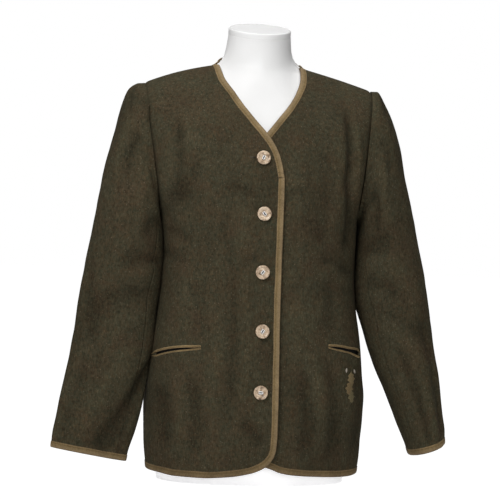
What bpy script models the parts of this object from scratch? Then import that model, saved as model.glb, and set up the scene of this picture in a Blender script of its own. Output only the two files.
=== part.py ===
# A collarless wool hunting jacket with tan bindings, worn on a white limbless dress form.
# Metres, +Z up, front toward -Y, the wearer's right side toward -X.
# The origin is the centre of the flat underside of the form.

import bisect
import math

import bpy
import bmesh
from mathutils import Vector
from mathutils.bvhtree import BVHTree
from mathutils.geometry import barycentric_transform

MM = 0.001

# Driving sizes in millimetres
CLOTH = 2.0
SEAM_GAP = 0.4
SHOULDER_X = 194.0
SHOULDER_Z = 664.0
NECK_X = 70.0
NECK_Z = 700.0
UNDERARM_X = 168.0
UNDERARM_Z = 443.0
ARMHOLE_DEPTH_FRONT = 62.0
ARMHOLE_DEPTH_BACK = 66.0
BODY_POWER = 2.3
ARMHOLE_STEPS = 12
LOWER_ROWS = 11
SIDE_COLUMNS = 9
NECK_SHARES = (0.018, 0.055, 0.115, 0.19, 0.29, 0.41, 0.53, 0.65, 0.77, 0.88, 1.0)
BACK_NECK_COLUMNS = 10
LAYER_STEP = 3.1
NECK_SOFTEN = 10.0
NECK_BEND_X = 56.0
NECK_BEND_Z = 708.25
NECK_RISE = 1.29
SHOULDER_FALL = 0.2757
BINDING_WIDTH = 9.5
BINDING_CLOTH = 0.9
BINDING_CLEAR = 0.7
SLEEVE_CLEAR = 1.5
FRONT_SEAM = 135.0
BACK_SEAM = -120.0
SEAM_ANGLE = 0.35
BUTTON_RADIUS = 11.7
BUTTON_THICK = 4.4
BUTTON_CLEAR = 0.9
FORM_COLUMNS = 14
FORM_DROP = 2.35
FORM_NECK_DROP = 3.0
FORM_ARMHOLE = 52.0
NECK_STUB_HALF = 52.0
NECK_STUB_Z = 753.5
CAP_HALF = 53.0
CAP_THICK = 11.0
CAP_TILT = 16.0

ARM_HALF = (SHOULDER_Z - UNDERARM_Z) / 2.0
ARM_MID = (SHOULDER_Z + UNDERARM_Z) / 2.0

# Body: height, half width, sway to the side, depth of the front, depth of the back
BODY = (
    (0.0, 180.0, 8.0, 121.0, 117.0),
    (65.0, 185.0, 8.0, 124.0, 118.0),
    (133.0, 185.5, 8.0, 125.0, 120.0),
    (200.0, 180.0, 8.5, 123.0, 112.0),
    (306.0, 168.0, 9.0, 114.0, 91.0),
    (386.0, 164.0, 9.0, 118.0, 96.0),
    (443.0, 168.0, 5.5, 123.0, 104.0),
    (486.0, 173.0, 3.0, 124.0, 106.0),
    (546.0, 180.0, 1.0, 112.0, 101.0),
    (596.0, 186.0, 0.0, 95.0, 93.0),
    (646.0, 192.0, 0.0, 74.0, 80.0),
    (676.0, 194.0, 0.0, 62.0, 72.0),
    (706.0, 194.0, 0.0, 52.0, 66.0),
    (730.0, 194.0, 0.0, 49.0, 62.0),
)

# Neck and front edge of the right front: height, x
EDGE_RIGHT = (
    (507.0, 32.0),
    (528.0, 28.5),
    (545.0, 24.0),
    (561.0, 16.5),
    (582.0, 2.5),
    (605.0, -17.0),
    (626.0, -34.0),
    (650.0, -49.0),
    (676.0, -64.0),
    (700.0, -70.0),
)

# Neck and front edge of the left front: height, x
EDGE_LEFT = (
    (507.0, -28.0),
    (528.0, -25.0),
    (545.0, -19.5),
    (561.0, -11.5),
    (585.0, 9.0),
    (609.0, 28.5),
    (630.0, 45.0),
    (651.0, 58.0),
    (677.0, 68.0),
    (700.0, 70.0),
)

# Hem of the right front: x, height
HEM_RIGHT = (
    (-190.0, 12.5),
    (-130.0, 11.0),
    (-85.0, 14.0),
    (-43.0, 17.5),
    (-11.0, 23.0),
    (7.0, 30.0),
    (17.5, 37.0),
    (26.0, 48.0),
    (30.5, 62.0),
    (32.0, 84.0),
)

# Hem of the left front: x, height
HEM_LEFT = (
    (-28.0, 98.0),
    (-25.0, 74.0),
    (-14.0, 52.0),
    (4.0, 38.0),
    (26.5, 30.0),
    (39.0, 25.0),
    (56.0, 22.0),
    (111.0, 17.5),
    (200.0, 13.0),
)

# Back neck: x, height
BACK_NECK = (
    (0.0, 703.0),
    (25.0, 700.5),
    (40.0, 697.0),
    (50.0, 694.5),
    (60.0, 694.5),
    (66.0, 696.5),
    (70.0, 700.0),
)

# Sleeve sections: outer x, outer height, inner x, inner height, front depth, back depth, y shift
SLEEVE_RIGHT = (
    (-204.5, 665.5, -166.5, 438.0, 63.0, 66.0, 0.0),
    (-220.5, 656.0, -165.5, 430.0, 64.0, 67.0, 0.0),
    (-232.5, 632.0, -163.0, 417.0, 64.0, 66.0, -1.0),
    (-244.0, 592.0, -160.5, 398.0, 63.0, 63.0, -2.0),
    (-256.0, 540.0, -160.0, 372.0, 60.0, 60.0, -3.0),
    (-267.0, 482.0, -161.5, 342.0, 56.0, 56.0, -5.0),
    (-277.0, 424.0, -164.0, 310.0, 51.0, 51.0, -7.0),
    (-288.0, 366.0, -167.0, 276.0, 45.0, 45.0, -9.0),
    (-297.5, 308.0, -171.5, 240.0, 39.0, 39.0, -12.0),
    (-305.5, 250.0, -177.0, 204.0, 33.0, 33.0, -15.0),
    (-315.0, 195.0, -182.5, 166.0, 28.0, 28.0, -18.0),
    (-324.5, 140.0, -187.5, 118.0, 23.0, 23.0, -21.0),
    (-332.0, 95.0, -195.5, 76.0, 18.0, 18.0, -23.0),
    (-336.0, 66.0, -203.0, 49.0, 15.0, 15.0, -25.0),
    (-336.5, 45.0, -208.5, 28.5, 13.0, 13.0, -26.0),
)

SLEEVE_LEFT = (
    (204.5, 665.0, 176.5, 438.0, 63.0, 66.0, 0.0),
    (217.0, 647.0, 177.5, 430.0, 65.0, 67.0, 0.0),
    (229.0, 622.0, 178.0, 417.0, 67.0, 68.0, -1.0),
    (239.5, 588.0, 178.0, 398.0, 68.0, 68.0, -2.0),
    (250.0, 543.0, 178.5, 372.0, 67.0, 67.0, -3.0),
    (262.0, 490.0, 179.5, 342.0, 65.0, 65.0, -5.0),
    (274.0, 437.0, 182.0, 310.0, 62.0, 62.0, -8.0),
    (285.5, 384.0, 187.5, 280.0, 59.0, 59.0, -10.0),
    (296.0, 330.0, 194.0, 248.0, 56.0, 56.0, -13.0),
    (304.5, 276.0, 203.5, 218.0, 54.0, 54.0, -16.0),
    (312.5, 222.0, 217.0, 184.0, 52.0, 52.0, -19.0),
    (321.0, 170.0, 235.0, 145.0, 51.0, 51.0, -22.0),
    (327.5, 122.0, 253.5, 99.0, 50.0, 50.0, -25.0),
    (331.0, 91.0, 266.0, 70.0, 50.0, 50.0, -27.0),
    (331.5, 70.5, 274.5, 49.5, 50.0, 50.0, -28.0),
)

# Dress form below the armholes: height, half width, sway, depth of the front, depth of the back
FORM = (
    (0.0, 158.0, 4.0, 100.0, 98.0),
    (65.0, 164.0, 5.0, 106.0, 104.0),
    (133.0, 165.0, 6.0, 108.0, 106.0),
    (200.0, 157.0, 6.0, 104.0, 98.0),
    (306.0, 140.0, 7.0, 92.0, 78.0),
    (386.0, 146.0, 6.0, 101.0, 84.0),
    (443.0, 155.0, 4.0, 111.0, 93.0),
    (486.0, 160.0, 2.0, 115.0, 98.0),
    (546.0, 167.0, 0.5, 104.5, 95.0),
    (596.0, 173.0, 0.0, 88.0, 88.0),
    (640.0, 181.0, 0.0, 69.0, 77.0),
    (676.0, 190.0, 0.0, 57.0, 67.0),
    (706.0, 190.0, 0.0, 47.0, 61.0),
    (730.0, 190.0, 0.0, 44.0, 57.0),
)

# Pocket mouths: x of the inner end, height, x of the outer end, height,
# opening at the inner end, in the middle, near the outer end
POCKET_RIGHT = (-94.0, 225.5, -163.0, 203.5, 2.4, 3.0, 2.6)
POCKET_LEFT = (117.0, 232.0, 178.0, 217.5, 2.6, 4.2, 8.0)
MOUTH_CUT = 9.0
PIPING_UPPER = 4.0
PIPING_LOWER = 2.6
PIPING_THICK = 1.0
PIPING_CLEAR = 0.8
BAG_RISE = 12.0
BAG_DROP = 46.0

# Buttons: x, height
BUTTONS = (
    (-2.0, 539.0),
    (1.0, 448.0),
    (1.5, 352.5),
    (3.5, 255.0),
    (3.0, 155.5),
)


def steady(rows, column, t):
    """Monotone cubic reading of one column of a table against its first column."""
    keys = [row[0] for row in rows]
    last = len(keys) - 1
    if t <= keys[0]:
        return rows[0][column]
    if t >= keys[last]:
        return rows[last][column]
    i = bisect.bisect_right(keys, t) - 1

    def slope(k):
        return (rows[k + 1][column] - rows[k][column]) / (keys[k + 1] - keys[k])

    def tangent(k):
        if k == 0:
            return slope(0)
        if k == last:
            return slope(last - 1)
        a = slope(k - 1)
        b = slope(k)
        if a * b <= 0.0:
            return 0.0
        return 2.0 * a * b / (a + b)

    step = keys[i + 1] - keys[i]
    q = (t - keys[i]) / step
    h00 = (1.0 + 2.0 * q) * (1.0 - q) ** 2
    h10 = q * (1.0 - q) ** 2
    h01 = q * q * (3.0 - 2.0 * q)
    h11 = q * q * (q - 1.0)
    ends = h00 * rows[i][column] + h01 * rows[i + 1][column]
    return ends + step * (h10 * tangent(i) + h11 * tangent(i + 1))


def smooth(t):
    t = min(max(t, 0.0), 1.0)
    return t * t * (3.0 - 2.0 * t)


def round_off(h):
    """Quarter-round rise from 0 at a seam to 1 at half an armhole from it."""
    q = 1.0 - min(max(h / ARM_HALF, 0.0), 1.0)
    return math.sqrt(max(1.0 - q * q, 0.0))


def ridge(x):
    """Height of the shoulder line, carried up the neck inside the neck points."""
    out = abs(x) - NECK_BEND_X
    bend = (math.sqrt(out * out + NECK_SOFTEN ** 2) - out - NECK_SOFTEN) / 2.0
    return NECK_BEND_Z - SHOULDER_FALL * out + NECK_RISE * bend


def armhole_x(z):
    q = min(max((z - ARM_MID) / ARM_HALF, -1.0), 1.0)
    middle = (SHOULDER_X + UNDERARM_X) / 2.0
    return middle + (SHOULDER_X - UNDERARM_X) / 2.0 * q


def half_width(z):
    if z <= UNDERARM_Z:
        return steady(BODY, 1, z)
    return armhole_x(z)


def sway(z):
    return steady(BODY, 2, z)


def column_x(s, z):
    return sway(z) + s * half_width(z)


def body_depth(x, z, side):
    """Depth of the cloth from the side seams; side -1 is the front, +1 the back."""
    s = min(abs(x - sway(z)) / half_width(z), 1.0)
    full = steady(BODY, 3 if side < 0 else 4, z)
    at_armhole = ARMHOLE_DEPTH_FRONT if side < 0 else ARMHOLE_DEPTH_BACK
    edge = at_armhole * round_off(z - UNDERARM_Z) if z > UNDERARM_Z else 0.0
    flat = 1.0 - (edge / full) ** BODY_POWER
    bulge = max(1.0 - flat * s ** BODY_POWER, 0.0) ** (1.0 / BODY_POWER)
    return round_off(ridge(x) - z) * full * bulge


def layer(x, hand):
    """Shift of a front toward or away from the body where the fronts overlap."""
    if hand == "right":
        return -LAYER_STEP * smooth((x + 66.0) / 30.0)
    if hand == "left":
        return LAYER_STEP * smooth((66.0 - x) / 30.0)
    return 0.0


def body_y(x, z, side, hand):
    reach = SEAM_GAP / 2.0 + body_depth(x, z, side)
    return side * reach + layer(x, hand)


def row_fractions():
    """Heights of the rows as fractions, with one row at the underarm."""
    low = (UNDERARM_Z - 12.0) / (SHOULDER_Z - 12.0)
    rows = [low * k / LOWER_ROWS for k in range(LOWER_ROWS)]
    for k in range(ARMHOLE_STEPS + 1):
        turn = math.pi * k / ARMHOLE_STEPS
        rows.append(low + (1.0 - low) * (1.0 - math.cos(turn)) / 2.0)
    return rows


def side_columns():
    neck = NECK_X / SHOULDER_X
    out = []
    for k in range(SIDE_COLUMNS):
        out.append(1.0 - (1.0 - neck) * (1.0 - math.cos(math.pi / 2.0 * k / SIDE_COLUMNS)))
    return out


def edge_height(s, rows):
    """Height where a column meets the neck edge."""
    low = rows[0][0]
    high = rows[-1][0]
    rising = rows[-1][1] > rows[0][1]
    for _ in range(40):
        mid = (low + high) / 2.0
        over = column_x(s, mid) - steady(rows, 1, mid)
        if rising:
            over = -over
        if over > 0.0:
            high = mid
        else:
            low = mid
    return (low + high) / 2.0


def front_columns(hand):
    """Signed column positions from the side seam to the free edge."""
    sign = -1.0 if hand == "right" else 1.0
    rows = EDGE_RIGHT if hand == "right" else EDGE_LEFT
    neck = NECK_X / SHOULDER_X
    out = [sign * s for s in side_columns()]
    out.append(sign * neck)
    for share in NECK_SHARES:
        z = NECK_Z - (NECK_Z - rows[0][0]) * share
        out.append((steady(rows, 1, z) - sway(z)) / half_width(z))
    return out


def free_shift(s, z, hand):
    """Keeps the free edge of a front upright below the neck."""
    rows = EDGE_RIGHT if hand == "right" else EDGE_LEFT
    start = rows[0][0]
    last = (rows[0][1] - sway(start)) / half_width(start)
    if z >= start or s * last <= 0.0:
        return 0.0
    return (rows[0][1] - column_x(last, z)) * smooth(s / last)


def slope_normal(x, z, side, hand):
    """Outward normal of the cloth from its slopes across and up."""
    d = 0.8
    roof = min(ridge(x - d), ridge(x + d), ridge(x))
    level = min(z, roof - 2.2 * d)
    across = body_y(x + d, level, side, hand) - body_y(x - d, level, side, hand)
    up = body_y(x, level + d, side, hand) - body_y(x, level - d, side, hand)
    n = Vector((2.0 * d, across, 0.0)).cross(Vector((0.0, up, 2.0 * d)))
    if n.y * side < 0.0:
        n = -n
    return n.normalized()


def grid_normals(points, side, hand, seam_top, seam_side):
    """Unit normals at the points of a sheet, square to the seams where asked."""
    count_j = len(points)
    count_k = len(points[0])
    normals = []
    for j in range(count_j):
        line = []
        for k in range(count_k):
            here = points[j][k]
            if seam_top(j, k):
                along = points[min(j + 1, count_j - 1)][k] - points[max(j - 1, 0)][k]
                n = Vector((-along.z, 0.0, along.x))
                if n.z < 0.0:
                    n = -n
            elif seam_side(j, k):
                b = points[j][min(k + 1, count_k - 1)] - points[j][max(k - 1, 0)]
                n = Vector((b.z, 0.0, -b.x))
                if n.x * here.x < 0.0:
                    n = -n
            else:
                inset = here.x
                if j in (0, count_j - 1) and abs(here.x) > 150.0:
                    inset = here.x - math.copysign(1.2, here.x)
                n = slope_normal(inset, here.z, side, hand)
            line.append(n.normalized())
        normals.append(line)
    return normals


def front_sheet(hand):
    columns = front_columns(hand)
    edge_rows = EDGE_RIGHT if hand == "right" else EDGE_LEFT
    hem_rows = HEM_RIGHT if hand == "right" else HEM_LEFT
    points = []
    for j, s in enumerate(columns):
        if j <= SIDE_COLUMNS:
            top = ridge(SHOULDER_X * s)
        else:
            top = edge_height(s, edge_rows)
        x_low = column_x(s, 20.0) + free_shift(s, 20.0, hand)
        bottom = steady(hem_rows, 1, x_low)
        line = []
        for f in row_fractions():
            z = bottom + (top - bottom) * f
            x = column_x(s, z) + free_shift(s, z, hand)
            line.append(Vector((x, body_y(x, z, -1, hand), z)))
        points.append(line)
    last = len(row_fractions()) - 1
    normals = grid_normals(
        points,
        -1,
        hand,
        lambda j, k: k == last and j <= SIDE_COLUMNS,
        lambda j, k: j == 0 and k <= LOWER_ROWS,
    )
    return points, normals


def back_columns():
    neck = NECK_X / SHOULDER_X
    left = [-s for s in side_columns()]
    middle = []
    for k in range(BACK_NECK_COLUMNS + 1):
        turn = math.cos(math.pi * k / BACK_NECK_COLUMNS)
        middle.append(-neck * math.copysign(abs(turn) ** 0.75, turn))
    return left + middle + list(reversed(side_columns()))


def back_sheet():
    columns = back_columns()
    count = len(columns)
    points = []
    for j, s in enumerate(columns):
        if j <= SIDE_COLUMNS or j >= count - 1 - SIDE_COLUMNS:
            top = ridge(SHOULDER_X * s)
        else:
            top = steady(BACK_NECK, 1, abs(SHOULDER_X * s))
        line = []
        for f in row_fractions():
            z = 12.5 + (top - 12.5) * f
            x = column_x(s, z)
            line.append(Vector((x, body_y(x, z, 1, "back"), z)))
        points.append(line)
    last = len(row_fractions()) - 1
    normals = grid_normals(
        points,
        1,
        "back",
        lambda j, k: k == last and (j <= SIDE_COLUMNS or j >= count - 1 - SIDE_COLUMNS),
        lambda j, k: (j == 0 or j == count - 1) and k <= LOWER_ROWS,
    )
    return points, normals


def sleeve_ring(index, angle, hand):
    """Point of a sleeve section; angle 0 is the outer side, +90 the front."""
    sign = -1.0 if hand == "right" else 1.0
    turn = math.radians(angle)
    c = math.cos(turn)
    s = math.sin(turn)
    if index == 0:
        z = ARM_MID + ARM_HALF * c
        x = sway(z) + sign * (armhole_x(z) + SLEEVE_CLEAR)
        reach = ARMHOLE_DEPTH_FRONT if s > 0.0 else ARMHOLE_DEPTH_BACK
        return Vector((x, -reach * s, z))
    rows = SLEEVE_RIGHT if hand == "right" else SLEEVE_LEFT
    xo, zo, xi, zi, front, back, shift = rows[index - 1]
    reach = front if s > 0.0 else back
    x = (xo + xi) / 2.0 + c * (xo - xi) / 2.0
    z = (zo + zi) / 2.0 + c * (zo - zi) / 2.0
    return Vector((x, shift - reach * s, z))


def sleeve_angles(piece):
    step = 180.0 / ARMHOLE_STEPS
    if piece == "top":
        low = BACK_SEAM
        high = FRONT_SEAM
    else:
        low = FRONT_SEAM
        high = BACK_SEAM + 360.0
    count = int(round((high - low) / step))
    out = [low + step * k for k in range(count + 1)]
    out[0] += SEAM_ANGLE
    out[-1] -= SEAM_ANGLE
    return out


def sleeve_normal(index, angle, hand, count):
    """Outward normal of a sleeve from its neighbouring points."""
    a = sleeve_ring(index, angle + 4.0, hand) - sleeve_ring(index, angle - 4.0, hand)
    upper = max(index - 1, 0)
    lower = min(index + 1, count)
    b = sleeve_ring(lower, angle, hand) - sleeve_ring(upper, angle, hand)
    n = a.cross(b)
    middle = (sleeve_ring(index, 0.0, hand) + sleeve_ring(index, 180.0, hand)) / 2.0
    if n.dot(sleeve_ring(index, angle, hand) - middle) < 0.0:
        n = -n
    if index == 0:
        n.x = 0.0
    return n.normalized()


def sleeve_sheet(hand, piece):
    count = len(SLEEVE_RIGHT)
    points = []
    normals = []
    for angle in sleeve_angles(piece):
        points.append([sleeve_ring(i, angle, hand) for i in range(count + 1)])
        normals.append([sleeve_normal(i, angle, hand, count) for i in range(count + 1)])
    return points, normals


def finish_mesh(name, verts, faces, material, smooth_shade):
    mesh = bpy.data.meshes.new(name)
    mesh.from_pydata([tuple(v * MM) for v in verts], [], faces)
    mesh.validate()
    work = bmesh.new()
    work.from_mesh(mesh)
    bmesh.ops.recalc_face_normals(work, faces=work.faces)
    if work.calc_volume(signed=True) < 0.0:
        bmesh.ops.reverse_faces(work, faces=work.faces)
    work.to_mesh(mesh)
    work.free()
    for polygon in mesh.polygons:
        polygon.use_smooth = smooth_shade
    mesh.materials.append(material)
    item = bpy.data.objects.new(name, mesh)
    bpy.context.scene.collection.objects.link(item)
    return item


def wall(name, points, normals, material, half_out=CLOTH / 2.0, half_in=CLOTH / 2.0):
    """Closed wall of even thickness on a grid of points."""
    count_j = len(points)
    count_k = len(points[0])
    verts = []
    for j in range(count_j):
        for k in range(count_k):
            verts.append(points[j][k] + normals[j][k] * half_out)
    for j in range(count_j):
        for k in range(count_k):
            verts.append(points[j][k] - normals[j][k] * half_in)
    shift = count_j * count_k
    faces = []

    def at(j, k):
        return j * count_k + k

    for j in range(count_j - 1):
        for k in range(count_k - 1):
            a = at(j, k)
            b = at(j + 1, k)
            c = at(j + 1, k + 1)
            d = at(j, k + 1)
            faces.append((a, b, c))
            faces.append((a, c, d))
            faces.append((c + shift, b + shift, a + shift))
            faces.append((d + shift, c + shift, a + shift))
    rim = [at(j, 0) for j in range(count_j)]
    rim += [at(count_j - 1, k) for k in range(1, count_k)]
    rim += [at(j, count_k - 1) for j in range(count_j - 2, -1, -1)]
    rim += [at(0, k) for k in range(count_k - 2, 0, -1)]
    for i, a in enumerate(rim):
        b = rim[(i + 1) % len(rim)]
        faces.append((b, a, a + shift))
        faces.append((b, a + shift, b + shift))
    return finish_mesh(name, verts, faces, material, True)


def facets(points):
    """Triangles of a grid of points as trios of grid cells."""
    out = []
    for j in range(len(points) - 1):
        for k in range(len(points[0]) - 1):
            out.append(((j, k), (j + 1, k), (j + 1, k + 1)))
            out.append(((j, k), (j + 1, k + 1), (j, k + 1)))
    return out


trees = {}


def sheet_point(points, normals, goal):
    """Nearest point to a goal on the facets of a sheet, and the normal there."""
    if id(points) not in trees:
        trios = facets(points)
        count_k = len(points[0])
        flat = [v for line in points for v in line]
        index = [[j * count_k + k for j, k in trio] for trio in trios]
        trees[id(points)] = (BVHTree.FromPolygons(flat, index), trios)
    tree, trios = trees[id(points)]
    spot, _, face, _ = tree.find_nearest(goal)
    corners = [points[j][k] for j, k in trios[face]]
    turns = [normals[j][k] for j, k in trios[face]]
    turned = barycentric_transform(spot, *corners, *turns)
    return spot, turned.normalized()


def binding(name, edge, inner, material, closed):
    """Folded strip around a cloth edge: pairs of point and normal at the edge and further in."""
    lip = CLOTH / 2.0 + BINDING_CLEAR
    skin = lip + BINDING_CLOTH
    verts = []
    for (e, ne), (i, ni) in zip(edge, inner):
        out = (e - i).normalized()
        tip = e + out * (BINDING_CLEAR + BINDING_CLOTH)
        root = e + out * BINDING_CLEAR
        verts.append(i + ni * skin)
        verts.append(tip + ne * (skin - 0.3))
        verts.append(tip - ne * CLOTH / 2.0)
        verts.append(root - ne * CLOTH / 2.0)
        verts.append(root + ne * lip)
        verts.append(i + ni * lip)
    faces = []
    count = len(edge)
    spans = count if closed else count - 1
    for a in range(spans):
        b = (a + 1) % count
        for m in range(6):
            n = (m + 1) % 6
            faces.append((a * 6 + m, b * 6 + m, b * 6 + n))
            faces.append((a * 6 + m, b * 6 + n, a * 6 + n))
    if not closed:
        for base, flip in ((0, False), ((count - 1) * 6, True)):
            for quad in ((0, 1, 4, 5), (1, 2, 3, 4)):
                ids = [base + q for q in quad]
                if flip:
                    ids.reverse()
                faces.append((ids[0], ids[1], ids[2]))
                faces.append((ids[0], ids[2], ids[3]))
    return finish_mesh(name, verts, faces, material, False)


def along_row(points, normals, start, row, direction, distance):
    """Point at a distance along a grid row."""
    cell = start
    left = distance
    while True:
        span = (points[cell + direction][row] - points[cell][row]).length
        if span >= left:
            break
        left -= span
        cell += direction
    q = left / span
    spot = points[cell][row].lerp(points[cell + direction][row], q)
    turned = normals[cell][row].lerp(normals[cell + direction][row], q)
    return spot, turned.normalized()


def up_column(points, normals, column, distance):
    """Point at a distance up a grid column from its foot."""
    line = points[column]
    q = distance / (line[1] - line[0]).length
    turned = normals[column][0].lerp(normals[column][1], q)
    return line[0].lerp(line[1], q), turned.normalized()


def stations(points, normals, path, first, last):
    """Points and normals along a path of cells, finer over its first and last spans."""
    out = []
    for n, (j, k) in enumerate(path):
        out.append((points[j][k], normals[j][k], (j, k)))
        if n == len(path) - 1:
            break
        m, o = path[n + 1]
        parts = 1
        if n < len(first):
            parts = first[n]
        if len(path) - 2 - n < len(last):
            parts = last[len(path) - 2 - n]
        for t in range(1, parts):
            q = t / parts
            turned = normals[j][k].lerp(normals[m][o], q).normalized()
            out.append((points[j][k].lerp(points[m][o], q), turned, None))
    return out


def inward_points(points, normals, line, first_way, last_way):
    """Points a binding width in from a line of stations."""
    crosses = []
    for n in range(len(line)):
        along = line[min(n + 1, len(line) - 1)][0] - line[max(n - 1, 0)][0]
        crosses.append(line[n][1].cross(along).normalized())
    half = len(line) // 2
    middle = points[len(points) // 2][len(points[0]) // 2]
    sign = 1.0 if crosses[half].dot(middle - line[half][0]) > 0.0 else -1.0
    out = []
    for n, (here, _, cell) in enumerate(line):
        if n == 0:
            out.append(along_row(points, normals, cell[0], cell[1], first_way, BINDING_WIDTH))
        elif n == len(line) - 1 and cell[1] > 0:
            out.append(along_row(points, normals, cell[0], cell[1], last_way, BINDING_WIDTH))
        elif cell and cell[1] == 0 and cell[0] < len(points) - 8:
            out.append(up_column(points, normals, cell[0], BINDING_WIDTH))
        else:
            out.append(sheet_point(points, normals, here + crosses[n] * (sign * BINDING_WIDTH)))
    return out


def principled(name, color, roughness, sheen=0.0):
    material = bpy.data.materials.new(name)
    material.use_nodes = True
    shader = material.node_tree.nodes["Principled BSDF"]
    shader.inputs["Base Color"].default_value = (color[0], color[1], color[2], 1.0)
    shader.inputs["Roughness"].default_value = roughness
    shader.inputs["Sheen Weight"].default_value = sheen
    return material


def lathe(name, origin, axis, profile, segments, material):
    """Turned solid from pairs of radius and rise; the first and last lie on the axis."""
    turn = Vector((0.0, 0.0, 1.0)).rotation_difference(axis)
    verts = [origin + axis * profile[0][1]]
    rings = profile[1:-1]
    for radius, rise in rings:
        for m in range(segments):
            a = 2.0 * math.pi * m / segments
            flat = Vector((radius * math.cos(a), radius * math.sin(a), rise))
            verts.append(origin + turn @ flat)
    verts.append(origin + axis * profile[-1][1])
    last = len(verts) - 1
    faces = []
    for m in range(segments):
        n = (m + 1) % segments
        faces.append((0, 1 + n, 1 + m))
        for r in range(len(rings) - 1):
            a = 1 + r * segments
            b = a + segments
            faces.append((a + m, a + n, b + n))
            faces.append((a + m, b + n, b + m))
        a = 1 + (len(rings) - 1) * segments
        faces.append((last, a + m, a + n))
    return finish_mesh(name, verts, faces, material, True)


def pocket_line(spec, q):
    """Middle of the mouth and its opening at a share of its length."""
    xi, zi, xo, zo, open_in, open_mid, open_out = spec
    x = xi + (xo - xi) * q
    z = zi + (zo - zi) * (0.55 * q + 0.45 * q * q)
    rows = ((0.0, 0.5), (0.12, open_in), (0.5, open_mid), (0.85, open_out), (1.0, 0.6))
    return x, z, steady(rows, 1, q)


def mouth_point(sheet, hand, x, z):
    points, normals = sheet
    return sheet_point(points, normals, Vector((x, body_y(x, z, -1, hand), z)))


def pocket_stations(spec, points):
    """Shares of the mouth length where it crosses the columns of its front."""
    xi, zi, xo, zo = spec[:4]
    out = [0.0]
    for line in reversed(points):
        x = line[7].x
        q = (x - xi) / (xo - xi)
        if 0.02 < q < 0.99:
            out.append(q)
    out.append(1.0)
    return out


def front_frame(x, z, hand):
    """Point on the cloth of a front and its outward normal."""
    d = 2.0
    here = Vector((x, body_y(x, z, -1, hand), z))
    a = Vector((2.0 * d, body_y(x + d, z, -1, hand) - body_y(x - d, z, -1, hand), 0.0))
    b = Vector((0.0, body_y(x, z + d, -1, hand) - body_y(x, z - d, -1, hand), 2.0 * d))
    n = a.cross(b).normalized()
    return here, n


def pocket_cutter(name, spec, hand, sheet):
    """Blade through the cloth along a pocket mouth."""
    verts = []
    shares = pocket_stations(spec, sheet[0])
    for q in shares:
        x, z, gap = pocket_line(spec, q)
        here, n = mouth_point(sheet, hand, x, z)
        for dz, dn in ((1.0, 1.0), (-1.0, 1.0), (-1.0, -1.0), (1.0, -1.0)):
            verts.append(here + Vector((0.0, 0.0, dz * gap / 2.0)) + n * dn * MOUTH_CUT)
    faces = [(3, 2, 1, 0)]
    for k in range(len(shares) - 1):
        for m in range(4):
            n = (m + 1) % 4
            faces.append((k * 4 + m, k * 4 + n, k * 4 + 4 + n, k * 4 + 4 + m))
    end = (len(shares) - 1) * 4
    faces.append((end, end + 1, end + 2, end + 3))
    item = finish_mesh(name, verts, faces, cloth_dark, False)
    item.hide_render = True
    item.display_type = "WIRE"
    return item


def cut(target, tool):
    modifier = target.modifiers.new("mouth", "BOOLEAN")
    modifier.operation = "DIFFERENCE"
    modifier.solver = "EXACT"
    modifier.object = tool


def pocket_strip(name, spec, hand, sheet, material, low, high, rise):
    """Strip on or behind the cloth, set off from the mouth by low and high in height."""
    strip_points = []
    strip_normals = []
    for q in pocket_stations(spec, sheet[0]):
        x, z, gap = pocket_line(spec, q)
        edge_low = low(gap)
        edge_high = high(gap)
        line = []
        turned = []
        for dz in (edge_low, edge_high):
            here, n = mouth_point(sheet, hand, x, z + dz)
            line.append(here + n * rise)
            turned.append(n)
        strip_points.append(line)
        strip_normals.append(turned)
    half = PIPING_THICK / 2.0
    return wall(name, strip_points, strip_normals, material, half, half)


for old in list(bpy.data.objects):
    bpy.data.objects.remove(old, do_unlink=True)

cloth_front_right = principled("loden_front_right", (0.062, 0.055, 0.038), 0.92, 0.2)
cloth_front_left = principled("loden_front_left", (0.062, 0.055, 0.038), 0.92, 0.2)
cloth_back = principled("loden_back", (0.062, 0.055, 0.038), 0.92, 0.2)
cloth_dark = principled("pocket_cloth", (0.02, 0.018, 0.014), 0.95)

# Fronts
sheet_right = front_sheet("right")
sheet_left = front_sheet("left")
front_right = wall("front_right", sheet_right[0], sheet_right[1], cloth_front_right)
front_left = wall("front_left", sheet_left[0], sheet_left[1], cloth_front_left)
cut(front_right, pocket_cutter("mouth_cutter_right", POCKET_RIGHT, "right", sheet_right))
cut(front_left, pocket_cutter("mouth_cutter_left", POCKET_LEFT, "left", sheet_left))

# Back
sheet_back = back_sheet()
wall("back", sheet_back[0], sheet_back[1], cloth_back)

# Sleeves
sleeve_sheets = {}
for hand in ("right", "left"):
    for piece in ("top", "under"):
        name = piece + "_sleeve_" + hand
        sleeve_sheets[name] = sleeve_sheet(hand, piece)
        sleeve_cloth = principled("loden_" + name, (0.062, 0.055, 0.038), 0.92, 0.2)
        wall(name, sleeve_sheets[name][0], sleeve_sheets[name][1], sleeve_cloth)


def front_path(points):
    """Grid cells from the neck point round the free edge to the side seam."""
    last_j = len(points) - 1
    last_k = len(points[0]) - 1
    path = [(j, last_k) for j in range(SIDE_COLUMNS, last_j)]
    path += [(last_j, k) for k in range(last_k, -1, -1)]
    path += [(j, 0) for j in range(last_j - 1, -1, -1)]
    return path


# Bindings of the fronts
for hand, sheet in (("right", sheet_right), ("left", sheet_left)):
    tape = principled("binding_front_" + hand, (0.195, 0.128, 0.062), 0.75)
    path = front_path(sheet[0])
    line = stations(sheet[0], sheet[1], path, (4, 3, 3, 2, 2, 2, 2, 2, 2), ())
    edge = [(spot, turned) for spot, turned, cell in line]
    inner = inward_points(sheet[0], sheet[1], line, -1, 0)
    binding("binding_front_" + hand, edge, inner, tape, False)

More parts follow.
